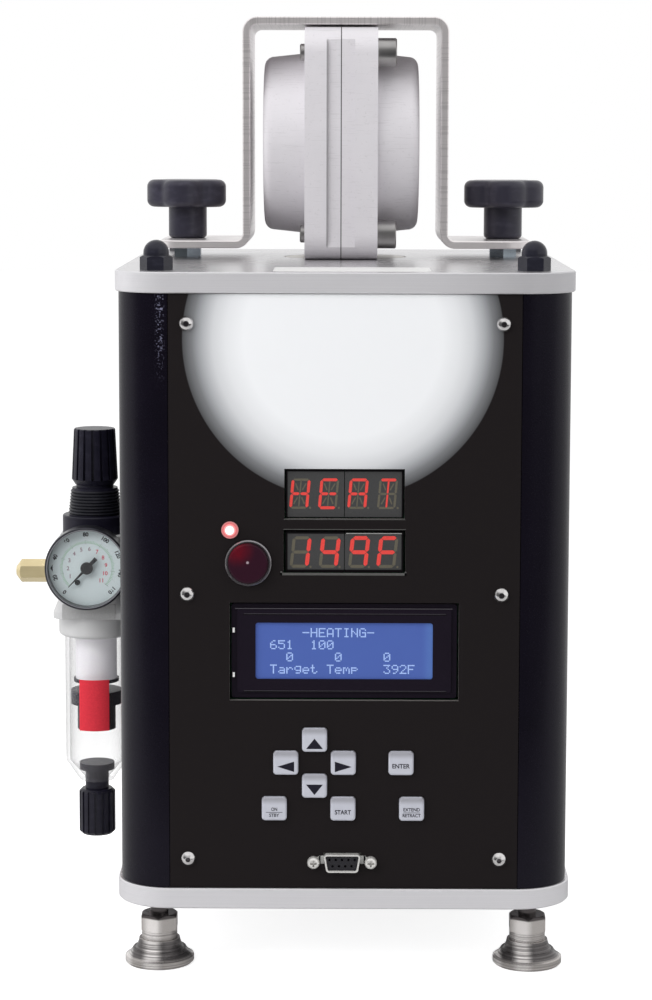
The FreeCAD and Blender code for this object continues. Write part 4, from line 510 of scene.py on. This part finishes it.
def gauge_finish():
    """Dark steel case whose well holds a pale mint dial, with a painted highlight ring round the
    well.
    """
    case = Finish("gauge_case", (0.02, 0.02, 0.022), 0.3, 0.6)
    reach = case.radius(*GAUGE)
    well = ((1 - case.step(reach, WELL_RADIUS - 0.1, WELL_RADIUS + 0.1))
            * (1 - case.step(case.y, WELL_MOUTH - 0.15, WELL_MOUTH + 0.15)))
    mottle = case.noise(2.5, detail=3.0)
    plain = case.mix(mottle, (0.76, 0.86, 0.88), (0.82, 0.91, 0.93))
    above_dial = 1 - case.step(case.y, DIAL_FRONT - 0.3, DIAL_FRONT - 0.1)
    dial = case.mix(above_dial, plain, (0.02, 0.02, 0.025))
    # painted highlight: a pale thin ring just outside the well
    line = case.between(reach, WELL_RADIUS + 0.2, WELL_RADIUS + 0.6, 0.1)
    black = case.mix(case.noise(6), (0.030, 0.030, 0.038), (0.055, 0.055, 0.068))
    rim = case.mix(line, black, (0.50, 0.50, 0.54))
    case.put({"Base Color": case.mix(well, rim, dial), "Metallic": 0.5 - 0.5 * well,
              "Roughness": 0.28 + 0.35 * well})
    return case


def clear(name, tint, roughness, alpha):
    """Clear plastic or glass: mostly see-through, with its gloss and darker edges kept."""
    glass = Finish(name, tint, roughness, 0.0, IOR=1.5, Coat_Weight=0.3, Coat_Roughness=0.03)
    edge = glass.node("LayerWeight", {}, {"Blend": 0.35}, "Facing")
    haze = glass.noise(6, 6, 14, detail=3.0)
    pale = tuple(min(1.0, c * 1.06) for c in tint)
    glass.put({"Alpha": alpha + edge ** 2.0 * 0.6 + haze * 0.04,
               "Roughness": roughness + 0.05 * haze, "Base Color": glass.mix(haze, tint, pale)})
    return glass


def board_finish():
    """Green circuit board with paler tracks and grey switches."""
    board = Finish("circuit_board", (0.02, 0.12, 0.06), 0.4)
    tracks = board.step(board.noise(1.6, 0.8, 4.0, detail=1.0), 0.52, 0.56)
    raised = 1 - board.step(board.y, SWITCH_FRONT - 0.15, SWITCH_FRONT + 0.15)
    green = board.mix(tracks, (0.014, 0.10, 0.045), (0.03, 0.17, 0.08))
    board.put({"Base Color": board.mix(raised, green, (0.25, 0.25, 0.24)),
               "Roughness": 0.35 + 0.1 * tracks})
    return board


def inlet_finish():
    """Black mains inlet with nickel blades in its socket."""
    inlet = Finish("mains_inlet", (0.012, 0.012, 0.013), 0.38)
    x, z = INLET
    blade = ((1 - inlet.step(abs(inlet.z - z), 4.2, 4.4))
             * (1 - inlet.step(abs(inlet.x - x), 8.2, 8.4))
             * inlet.between(inlet.y, 70.2, 81.2, 0.05))
    grain = inlet.noise(0.5, detail=2.0)
    black = inlet.mix(grain, (0.010, 0.010, 0.011), (0.018, 0.018, 0.020))
    inlet.put({"Base Color": inlet.mix(blade, black, (0.72, 0.70, 0.66)),
               "Metallic": blade, "Roughness": 0.32 + 0.14 * grain})
    inlet.bump(grain, 0.02, 0.5)
    return inlet


def finish_nodes():
    """Gives every node of the CAD model its finish."""
    dress(brushed_plate(), "base_plate", "top_plate")
    dress(powder_coat(), "body_shell")
    dress(panel_print(), "front_panel")
    dress(plated("stainless", (0.58, 0.56, 0.54), (0.80, 0.79, 0.77), 0.16),
          "tie_rods", "adjusting_stem")
    dress(screw_finish(), "panel_screws")
    dress(moulded("black_oxide", (0.018, 0.018, 0.028), 0.24, 0.5), "cap_nuts")
    feet = foot_finish()
    for corner in ("front_left", "front_right", "rear_left", "rear_right"):
        dress(feet, corner + "_foot_stud", corner + "_foot_base")
    dress(plated("stud_blue_grey", (0.16, 0.20, 0.23), (0.40, 0.44, 0.48), 0.24), "clamp_studs")
    dress(strap_finish(), "clamp_bracket")
    knob = moulded("knob_black", (0.032, 0.030, 0.046), 0.32, 0.45, gloss=0.4)
    dress(knob, "left_clamp_knob", "right_clamp_knob")
    brass = turned_metal("turned_brass", (0.66, 0.53, 0.28), (0.94, 0.81, 0.50), 0.26,
                         pitch=0.5, depth=0.01, metallic=0.45)
    dress(brass, "left_knob_insert", "right_knob_insert", "air_inlet_fitting", "outlet_nipple")
    dress(cast_flask(), "flask_left_half", "flask_right_half")
    dress(plated("socket_screw", (0.30, 0.29, 0.29), (0.58, 0.57, 0.56), 0.34), "flask_screws")
    dress(display_face(), "upper_display", "lower_display")
    dress(lcd_finish(), "lcd_module")
    dress(led_finish(), "status_led")
    dress(pilot_finish(), "pilot_lens")
    dress(plated("pilot_ring", (0.22, 0.21, 0.22), (0.40, 0.38, 0.40), 0.28), "pilot_bezel")
    dress(key_finish(), *(name + "_key" for name in KEYS))
    dress(socket_finish(), "serial_connector")
    dress(board_finish(), "control_board")
    dress(regulator_cast(), "regulator_body")
    dress(moulded("regulator_black", (0.012, 0.011, 0.021), 0.34, 0.5),
          "regulator_bonnet", "regulator_knob", "drain_knob", "filter_baffle")
    dress(gauge_finish(), "gauge_case")
    dress(moulded("pointer_black", (0.03, 0.028, 0.032), 0.45), "gauge_needle")
    dress(clear("gauge_window", (0.90, 0.94, 0.95), 0.02, 0.0), "gauge_lens")
    dress(clear("clear_bowl", (0.34, 0.33, 0.35), 0.04, 0.05), "filter_bowl")
    element = moulded("sintered_white_painted_glow", (0.97, 0.95, 0.99), 0.6, 0.3, 0.04)
    # painted light: the white filter element glows a little, though it is no lamp
    element.put({"Emission Color": (0.97, 0.95, 1.0, 1.0), "Emission Strength": 0.16})
    dress(element, "filter_element")
    dress(turned_metal("barrel_steel", (0.30, 0.27, 0.24), (0.52, 0.48, 0.44), 0.3, pitch=0.5),
          "heater_barrel")
    dress(plated("heater_band", (0.24, 0.21, 0.18), (0.44, 0.40, 0.36), 0.38), "band_heater")
    dress(turned_metal("chromed_ram", (0.55, 0.55, 0.56), (0.72, 0.72, 0.73), 0.14,
                       pitch=0.4, depth=0.01), "ram")
    dress(plated("cylinder_grey", (0.34, 0.35, 0.37), (0.50, 0.51, 0.53), 0.38), "air_cylinder")
    dress(moulded("valve_black", (0.03, 0.03, 0.033), 0.4), "solenoid_valve")
    dress(inlet_finish(), "power_inlet")
    dress(moulded("rocker_black", (0.02, 0.02, 0.022), 0.28), "rocker_switch")


# Pieces

class Drawing:
    """Flat shapes in one upright plane that faces the front, collected into one piece."""

    def __init__(self, y):
        self.mesh = bmesh.new()
        self.y = y

    def shape(self, corners):
        self.mesh.faces.new([self.mesh.verts.new((x * MM, self.y * MM, z * MM))
                             for x, z in corners])

    def block(self, x, z, wide, tall):
        self.shape([(x, z), (x + wide, z), (x + wide, z + tall), (x, z + tall)])

    def words(self, text, x, z, tall, wide=None, turn=0.0, weight=0.0):
        """Plain lettering about x, z with capitals of one height, squeezed to a width."""
        curve = bpy.data.curves.new("words", "FONT")
        curve.body = text
        curve.offset = weight
        letters = bpy.data.objects.new("words", curve)
        bpy.context.scene.collection.objects.link(letters)
        bpy.context.view_layer.update()
        outline = bpy.data.meshes.new_from_object(letters)
        low = [min(v.co[k] for v in outline.vertices) for k in (0, 1)]
        high = [max(v.co[k] for v in outline.vertices) for k in (0, 1)]
        up = tall / (high[1] - low[1])
        across = wide / (high[0] - low[0]) if wide else up
        middle = Vector([(low[k] + high[k]) / 2 for k in (0, 1)] + [0])
        upright = Matrix.Rotation(math.radians(90), 4, "X")
        outline.transform(Matrix.Translation(Vector((x, self.y, z)) * MM)
                          @ Matrix.Rotation(math.radians(-turn), 4, "Y") @ upright
                          @ Matrix.Diagonal((across * MM, up * MM, MM, 1))
                          @ Matrix.Translation(-middle))
        self.mesh.from_mesh(outline)
        bpy.data.objects.remove(letters)
        bpy.data.curves.remove(curve)
        bpy.data.meshes.remove(outline)

    def done(self, name, body, slot, finish):
        bmesh.ops.recalc_face_normals(self.mesh, faces=self.mesh.faces)
        for face in self.mesh.faces:
            if face.normal.y > 0:
                face.normal_flip()
        add_piece(name, self.mesh, body, finish)


def add_piece(name, mesh, body, finish, smooth=False):
    """Turns a bmesh into a piece that rides on a body."""
    data = bpy.data.meshes.new(name)
    mesh.to_mesh(data)
    mesh.free()
    data.polygons.foreach_set("use_smooth", [smooth] * len(data.polygons))
    data.materials.append(finish.material)
    piece = bpy.data.objects.new(name, data)
    bpy.context.scene.collection.objects.link(piece)
    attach(piece, body)


def arc(x, z, radius, first, last, count):
    """Points on an arc, angles in degrees from +X towards +Z."""
    angles = [math.radians(first + (last - first) * k / count) for k in range(count + 1)]
    return [(x + radius * math.cos(a), z + radius * math.sin(a)) for a in angles]


def bar(first, last, thick):
    """A display segment: a bar with pointed ends between two points, with a gap at each."""
    gap = 0.12
    start, end = Vector(first), Vector(last)
    along = (end - start).normalized()
    side = Vector((-along.y, along.x)) * thick / 2
    start, end = start + along * gap, end - along * gap
    inner = along * thick / 2
    return [start, start + inner - side, end - inner - side, end, end - inner + side,
            start + inner + side]


def segment_lines(wide, tall, lettered):
    """Centre lines of a display character's segments, named as such displays name them."""
    x, z = wide / 2, tall / 2
    lines = {"a": ((-x, z), (x, z)), "b": ((x, z), (x, 0)), "c": ((x, 0), (x, -z)),
             "d": ((-x, -z), (x, -z)), "e": ((-x, 0), (-x, -z)), "f": ((-x, z), (-x, 0))}
    if not lettered:
        lines["g"] = ((-x, 0), (x, 0))
        return lines
    lines["g"], lines["k"] = ((-x, 0), (0, 0)), ((0, 0), (x, 0))
    lines["i"], lines["l"] = ((0, z), (0, 0)), ((0, 0), (0, -z))
    inset, lean = 0.30, 0.22
    for name, side, end in (("h", -1, 1), ("j", 1, 1), ("n", -1, -1), ("m", 1, -1)):
        lines[name] = ((side * x * (1 - inset), end * z * (1 - lean)),
                       (side * x * lean, end * z * lean))
    return lines


def display(name, places, z, wide, tall, thick, lettered, lit, slant):
    """The segments of a display, lit and unlit, and its points."""
    dull_share, inner_share, point = 0.8, 0.62, 0.5
    bright, dull = Drawing(FACE_FRONT - 0.06), Drawing(FACE_FRONT - 0.05)
    lines = segment_lines(wide - thick, tall - thick, lettered)
    for x, on in zip(places, lit):
        for key, (first, last) in lines.items():
            inner = lettered and key in "hjnmil"
            drawing, width = (bright, thick) if key in on else (dull, thick * dull_share)
            corners = bar(first, last, width * (inner_share if inner else 1.0))
            drawing.shape([(x + p.x + p.y * slant, z + p.y) for p in corners])
        dot_x = x + wide / 2 + 0.9 - tall / 2 * slant
        dull.shape(arc(dot_x, z - tall / 2 + 0.6, point, 0, 330, 11))
    bright.done(name + "_lit", "machine", "display_red", SEGMENT_LIT)
    dull.done(name + "_unlit", "machine", "display_red", SEGMENT_DULL)


# Dot characters, as seven rows of five bits
GLYPHS = {
    "-": "000 0 0 31 0 0 0", "0": "14 17 19 21 25 17 14", "1": "4 12 4 4 4 4 14",
    "2": "14 17 1 2 4 8 31", "3": "31 2 4 2 1 17 14", "5": "31 16 30 1 1 17 14",
    "6": "6 8 16 30 17 17 14", "9": "14 17 17 15 1 2 12", "A": "14 17 17 17 31 17 17",
    "E": "31 16 16 30 16 16 31", "F": "31 16 16 30 16 16 16", "G": "14 17 16 23 17 17 15",
    "H": "17 17 17 31 17 17 17", "I": "14 4 4 4 4 4 14", "N": "17 17 25 21 19 17 17",
    "T": "31 4 4 4 4 4 4", "a": "0 0 14 1 15 17 15", "e": "0 0 14 17 31 16 14",
    "g": "0 15 17 17 15 1 14", "m": "0 0 26 21 21 17 17", "p": "0 0 30 17 30 16 16",
    "r": "0 0 22 25 16 16 16", "t": "8 8 28 8 8 9 6",
}


def lcd_characters():
    """Four rows of dot characters on the blue glass."""
    dots = Drawing(GLASS_FRONT - 0.05)
    left, top, pitch, row_pitch = -32.1, -154.1, 3.515, 5.36
    step_x, step_z, dot_x, dot_z = 0.60, 0.575, 0.54, 0.52
    rows = ("    -HEATING-", "651  100", "  0     0     0", "Target Temp   392F")
    for line, text in enumerate(rows):
        for column, letter in enumerate(text):
            if letter == " ":
                continue
            for down, bits in enumerate(GLYPHS[letter].split()):
                for across in range(5):
                    if int(bits) & (16 >> across):
                        dots.block(left + column * pitch + across * step_x,
                                   top - line * row_pitch - (down + 1) * step_z, dot_x, dot_z)
    dots.done("lcd_characters", "machine", "lcd", LCD_DOT)


def key_legends():
    """Arrows and plain words on the keys. A word is given with its rise, height and width."""
    y = KEY_FRONT - 0.04
    half, high, drop = 3.65, 2.3, -1.5
    arrows = {"up": ((-half, -high), (half, -high), (0, high)),
              "down": ((-half, high), (0, -high), (half, high)),
              "left": ((-half, 0), (half, -high), (half, high)),
              "right": ((-half, -high), (half, 0), (-half, high))}
    words = {"enter": [("ENTER", -1.1, 2.0, 7.6)], "start": [("START", -1.35, 2.0, 7.0)],
             "standby": [("ON", -0.1, 1.5, 2.6), ("STBY", -2.75, 1.5, 4.4)],
             "extend": [("EXTEND", -0.1, 1.5, 7.2), ("RETRACT", -2.7, 1.5, 7.8)]}
    for name, (x, z) in KEYS.items():
        legend = Drawing(y)
        if name in arrows:
            legend.shape([(x + a, z + b + drop) for a, b in arrows[name]])
        for text, up, tall, wide in words.get(name, []):
            legend.words(text, x, z + up, tall, wide, weight=0.02)
        if name in ("standby", "extend"):
            legend.block(x - 3.6, z - 1.6, 7.2, 0.22)
        legend.done(name + "_legend", name + "_button", "key_plastic", LEGEND_INK)


def dial_print():
    """Numbers, fine scale and inner scale on the dial. Zero stands low on the left."""
    x, z = GAUGE
    black, green, red, grey = (Drawing(DIAL_FRONT - 0.05) for _ in range(4))
    first, sweep, marks = 227.0, 269.0, 80
    numbered = (227.4, 197.5, 162.0, 127.0, 92.0, 56.5, 23.0, -10.0, -43.5)

    def spot(angle, radius):
        turn = math.radians(angle)
        return x + radius * math.cos(turn), z + radius * math.sin(turn)

    def tick(drawing, angle, inner, outer, wide):
        turn = math.radians(angle)
        across = Vector((-math.sin(turn), math.cos(turn))) * wide / 2
        near, far = Vector(spot(angle, inner)), Vector(spot(angle, outer))
        drawing.shape([tuple(near - across), tuple(far - across),
                       tuple(far + across), tuple(near + across)])

    for count in range(marks + 1):
        angle = first - sweep * count / marks
        tick(green, angle, 12.2, 13.2 if count % 5 else 13.6, 0.2)
        if count % 10 == 0:
            tick(black, angle, 11.6, 13.6, 0.16)
    for count, angle in enumerate(numbered):
        black.words(str(count * 20), *spot(angle, 16.4), 2.1, turn=angle - 90, weight=0.035)
    for count in range(1, 12):
        inner = grey if count < 7 else red
        inner.words(str(count), *spot(231.9 - 24.9 * count, 9.3), 2.0, weight=0.02)
    for start in range(0, 270, 6):
        near, far = first - start, first - start - 6
        green.shape([spot(near, 12.1), spot(near, 12.25), spot(far, 12.25), spot(far, 12.1)])
    black.shape([spot(181, 17.9), spot(175, 16.9), spot(187, 16.9)])
    black.done("dial_numbers", "machine", "gauge_black", LEGEND_INK)
    green.done("dial_scale", "machine", "gauge_black", SCALE_GREEN)
    red.done("dial_high_numbers", "machine", "gauge_black", SCALE_RED)
    grey.done("dial_low_numbers", "machine", "gauge_black", SCALE_GREY)


def spun(profile, x, y, count=64):
    """Turns a profile of radius and height round an upright axis."""
    mesh = bmesh.new()
    turns = [math.tau * k / count for k in range(count)]
    rings = [[mesh.verts.new(((x + radius * math.cos(turn)) * MM,
                              (y + radius * math.sin(turn)) * MM, height * MM))
              for turn in turns] for radius, height in profile]
    for low, high in zip(rings, rings[1:]):
        for k in range(count):
            mesh.faces.new((low[k], low[(k + 1) % count], high[(k + 1) % count], high[k]))
    bmesh.ops.recalc_face_normals(mesh, faces=mesh.faces)
    return mesh


def bonnet_thread():
    """Fine rings of the bonnet's mounting thread, on a body that narrows upwards."""
    low, high, pitch, crest = -128.2, -115.6, 1.5, 0.55
    low_radius, narrowing = 12.5, 1.3
    profile = []
    for k in range(int((high - low) / pitch)):
        level = low + k * pitch
        radius = low_radius - narrowing * (level - low) / (high - low)
        profile += [(radius + 0.05, level), (radius + crest, level + 0.35 * pitch),
                    (radius + crest, level + 0.6 * pitch), (radius + 0.05, level + 0.95 * pitch)]
    add_piece("bonnet_thread", spun(profile, *REGULATOR), "machine",
              THREAD_BLACK)


def bowl_label():
    """A plain red label round part of the bowl."""
    mesh = bmesh.new()
    x, y = REGULATOR
    radius, low, high = 15.46, -235.2, -209.6
    first, last, count = 242.0, 299.0, 24
    columns = []
    for k in range(count + 1):
        turn = math.radians(first + (last - first) * k / count)
        point = (x + radius * math.cos(turn)) * MM, (y + radius * math.sin(turn)) * MM
        columns.append([mesh.verts.new((*point, level * MM)) for level in (low, high)])
    for left, right in zip(columns, columns[1:]):
        mesh.faces.new((left[0], right[0], right[1], left[1]))
    add_piece("bowl_label", mesh, "machine", LABEL_RED, True)


def plate_label():
    """A bare white label let into the top plate in front of the flask, 0.1 mm proud of it."""
    mesh = bmesh.new()
    wide, deep, thick, proud, corner = 68.0, 38.0, 0.35, 0.10, 2.5
    x, y = 3.0, -129.0
    outline = []
    for cx, cy, start in ((1, 1, 0), (-1, 1, 90), (-1, -1, 180), (1, -1, 270)):
        outline += arc(x + cx * (wide / 2 - corner), y + cy * (deep / 2 - corner), corner,
                       start, start + 90, 6)
    face = mesh.faces.new([mesh.verts.new((a * MM, b * MM, (proud - thick) * MM))
                           for a, b in outline])
    top = bmesh.ops.extrude_face_region(mesh, geom=[face])
    bmesh.ops.translate(mesh, vec=(0, 0, thick * MM),
                        verts=[v for v in top["geom"] if isinstance(v, bmesh.types.BMVert)])
    bmesh.ops.recalc_face_normals(mesh, faces=mesh.faces)
    add_piece("top_label", mesh, "machine", LABEL_WHITE)


def display_edges():
    """The edges that show round the displays: under both, and over the lower one's right half."""
    ledge = Drawing(PANEL_FRONT - 0.05)
    ledge.block(-27.6, -130.6, 54.4, 1.1)
    ledge.block(-27.6, -130.6, 0.8, 1.7)
    ledge.block(26.0, -130.6, 0.8, 1.7)
    ledge.block(-26.2, -106.4, 52.4, 0.25)
    ledge.block(-26.4, -110.7, 52.8, 0.25)
    ledge.done("display_ledge", "machine", "plate", DULL_EDGE)
    strip = Drawing(FACE_FRONT - 0.06)
    strip.block(0.7, -112.7, 24.0, 0.35)
    strip.done("display_strip", "machine", "plate", BARE_EDGE)


def lcd_trim():
    """Pressed ridges of the display's frame, drawn as lines of painted shade and painted
    highlight, and the two pale tabs at its left.
    """
    y = FACE_FRONT - 0.05
    ridges, painted_highlight = Drawing(y), Drawing(y - 0.02)
    # painted shade and highlight: each ridge is a dark line with a grey line along its top
    for left, wide, level in ((-43.6, 87.9, -148.0), (-43.7, 88.3, -181.9)):
        ridges.block(left, level - 0.3, wide, 0.5)
        painted_highlight.block(left + 0.3, level + 0.2, wide - 0.6, 0.14)
    # painted highlight: a grey line along the frame's top edge
    painted_highlight.block(-47.2, -145.6, 94.0, 0.3)
    ridges.done("lcd_ridge_shade", "machine", "plate", RIDGE_SHADE)
    painted_highlight.done("lcd_ridge_highlight", "machine", "plate", RIDGE_HIGHLIGHT)
    tabs = Drawing(y)
    for level in (-156.0, -175.6):
        tabs.block(-48.3, level, 0.9, 2.1)
    tabs.done("lcd_tabs", "machine", "plate", LABEL_WHITE)


def socket_tabs():
    """The bright ends of the socket's flange beside its shell."""
    tabs = Drawing(PANEL_FRONT - 0.05)
    for x, side in ((-9.6, -1), (8.4, 1)):
        first = -90 * side
        tabs.shape(arc(x + side * 0.4, -256.2, 1.8, first, first + 180, 8))
        tabs.block(x - 1.2, -258.0, 2.4, 3.6)
    tabs.done("socket_tabs", "machine", "plate", BARE_EDGE)


def regulator_plate():
    """A bare plate on the front of the regulator, under the gauge."""
    mesh = bmesh.new()
    left, right, thick = -138.4, -112.4, 0.5
    front = [(1.9, -178.2), (1.9, -175.4), (2.8, -171.0)]
    section = front + [(y + thick, z) for y, z in reversed(front)]
    ends = [[mesh.verts.new((x * MM, y * MM, z * MM)) for y, z in section] for x in (left, right)]
    for end in ends:
        mesh.faces.new(end)
    for k in range(len(section)):
        after = (k + 1) % len(section)
        mesh.faces.new((ends[0][k], ends[0][after], ends[1][after], ends[1][k]))
    bmesh.ops.recalc_face_normals(mesh, faces=mesh.faces)
    add_piece("regulator_plate", mesh, "machine", PLATE_GREY)


def ink(name, colour, roughness=0.5):
    """Printing ink, a little uneven."""
    made = Finish(name, colour, roughness, Specular_IOR_Level=0.05)
    blot = made.noise(0.7, detail=2.0)
    pale = tuple(min(1.0, c * 1.3 + 0.01) for c in colour)
    made.put({"Base Color": made.mix(blot, colour, pale),
              "Roughness": roughness - 0.05 + 0.1 * blot})
    return made


# Stage

def seen(shading, *kinds):
    """1 for rays of these kinds and 0 for others."""
    rays = shading.node("LightPath", output=None)
    total = Value(shading, rays.outputs["Is %s Ray" % kinds[0]])
    for kind in kinds[1:]:
        total = shading.larger(total, Value(shading, rays.outputs["Is %s Ray" % kind]))
    return total


def add_floor():
    """A white floor that keeps the shadow. Gloss sees a dark zone in front of the machine."""
    stage = Finish("studio_white", (0.80, 0.80, 0.80), 0.9, Specular_IOR_Level=0.0)
    shown, mirrored = seen(stage, "Camera", "Transmission"), seen(stage, "Glossy")
    glow = 0.80 - stage.step(stage.radius(0, -40, "Y"), 160, 520) * 0.33
    front = mirrored * (1 - shown) * (1 - stage.step(stage.y, -620, -230))
    white = stage.mix(shown * glow, (0, 0, 0), (1, 1, 1))
    stage.put({"Base Color": stage.mix(front, (0.80, 0.80, 0.80), (0.10, 0.10, 0.105)),
               "Emission Color": white, "Emission Strength": 1.0})
    mesh = bmesh.new()
    size, level = 6000.0, SOLE - 0.2
    corners = [(-size, -size), (size, -size), (size, size), (-size, size)]
    mesh.faces.new([mesh.verts.new((x * MM, y * MM, level * MM)) for x, y in corners])
    data = bpy.data.meshes.new("floor")
    mesh.to_mesh(data)
    mesh.free()
    data.materials.append(stage.material)
    floor = bpy.data.objects.new("floor", data)
    bpy.context.scene.collection.objects.link(floor)


def set_world():
    """White surroundings, and a room for gloss that is darker in front of the machine."""
    world = bpy.context.scene.world or bpy.data.worlds.new("studio")
    bpy.context.scene.world = world
    world.use_nodes = True
    sky = Shading(world.node_tree, "Background")
    across, ahead, up = sky.parts(sky.node("TexCoord", output="Generated"))
    behind = sky.step(ahead, -0.45, 0.20)
    left = sky.step(-1 * across, 0.30, 0.75) * sky.step(ahead, -0.40, 0.10) * 0.6
    right = sky.step(across, 0.20, 0.60)
    above = sky.step(up, 0.30, 0.85)
    room = sky.larger(sky.larger(behind, above), sky.larger(left, right)) * 0.85 + 0.15
    shown = seen(sky, "Camera", "Transmission")
    mirrored = seen(sky, "Glossy") * (1 - shown)
    filled = sky.step(up, -0.2, 0.7) * 0.36 + 0.40
    sky.put({"Color": (1, 1, 1, 1),
             "Strength": shown + mirrored * room + (1 - shown) * (1 - mirrored) * filled})


def add_light(name, place, target, size, power):
    """A rectangular soft light aimed at a point, places in mm. Gloss shows the room instead."""
    lamp = bpy.data.lights.new(name, "AREA")
    lamp.shape = "RECTANGLE"
    lamp.size, lamp.size_y = size[0] * MM, size[1] * MM
    lamp.energy = power
    light = bpy.data.objects.new(name, lamp)
    light.visible_glossy = False
    bpy.context.scene.collection.objects.link(light)
    light.location = Vector(place) * MM
    light.rotation_euler = (Vector(target) - Vector(place)).to_track_quat("-Z", "Y").to_euler()


def add_camera():
    """The photograph's view: a long lens a little above the machine."""
    place, focal = (-0.31, -1305.1, 57.35), 2.70243
    pitch, yaw, roll = (math.radians(a) for a in (6.613, -0.383, 0.123))
    ahead = Vector((math.sin(yaw) * math.cos(pitch), math.cos(yaw) * math.cos(pitch),
                    -math.sin(pitch)))
    right = Vector((math.cos(yaw), -math.sin(yaw), 0))
    up = right.cross(ahead)
    turned_right = math.cos(roll) * right + math.sin(roll) * up
    turned_up = math.cos(roll) * up - math.sin(roll) * right
    lens = bpy.data.cameras.new("camera")
    lens.sensor_width = 36.0
    lens.lens = lens.sensor_width * focal
    lens.shift_y = -0.05
    lens.clip_start, lens.clip_end = 0.05, 30.0
    camera = bpy.data.objects.new("camera", lens)
    bpy.context.scene.collection.objects.link(camera)
    axes = Matrix((turned_right, turned_up, -ahead)).transposed().to_4x4()
    camera.matrix_world = Matrix.Translation(Vector(place) * MM) @ axes
    bpy.context.scene.camera = camera
    bpy.context.scene.view_settings.view_transform = "Standard"


# Finishes of the small trim

SEGMENT_LIT = glowing("segment_lit", (0.54, 0.035, 0.028), 0.28)
SEGMENT_DULL = ink("segment_dull", (0.110, 0.100, 0.075))
LCD_DOT = glowing("lcd_dot", (0.30, 0.42, 0.72), 0.25)
LEGEND_INK = ink("legend_ink", (0.012, 0.011, 0.020))
SCALE_GREEN = ink("scale_green", (0.30, 0.55, 0.36))
SCALE_RED = ink("scale_red", (0.62, 0.10, 0.14))
SCALE_GREY = ink("scale_grey", (0.30, 0.22, 0.26))
THREAD_BLACK = moulded("thread_black", (0.012, 0.012, 0.017), 0.36, 0.5)
LABEL_RED = ink("label_red", (0.74, 0.040, 0.062), 0.35)
LABEL_WHITE = ink("label_white", (0.80, 0.79, 0.78), 0.4)
BARE_EDGE = ink("bare_edge", (0.36, 0.36, 0.35), 0.35)
DULL_EDGE = ink("dull_edge", (0.085, 0.085, 0.082), 0.4)
# painted shade and painted highlight for the display frame's ridges
RIDGE_SHADE = ink("ridge_painted_shade", (0.003, 0.002, 0.004))
RIDGE_HIGHLIGHT = ink("ridge_painted_highlight", (0.075, 0.070, 0.080))
PLATE_GREY = ink("plate_grey", (0.50, 0.50, 0.50), 0.35)

# The scene

finish_nodes()
display("upper_segments", (-19.2, -6.8, 5.8, 18.5), -95.3, 8.2, 13.4, 1.25, True,
        ("bcefgk", "adefgk", "abcefgk", "ail"), 0.09)
display("lower_segments", (-18.95, -6.4, 6.3, 18.6), -120.7, 8.4, 14.1, 1.7, False,
        ("bc", "bcfg", "abcfg", "aefg"), 0.11)
lcd_characters()
key_legends()
dial_print()
bonnet_thread()
bowl_label()
plate_label()
display_edges()
lcd_trim()
socket_tabs()
regulator_plate()
add_floor()
set_world()
add_light("left_light", (-1150, -700, 450), (0, -60, -120), (700, 1100), 5.6)
add_light("right_light", (1200, -600, 300), (0, -60, -120), (600, 1100), 0.8)
add_light("top_light", (-650, -1100, 850), (0, -40, -60), (800, 600), 5.2)
add_camera()
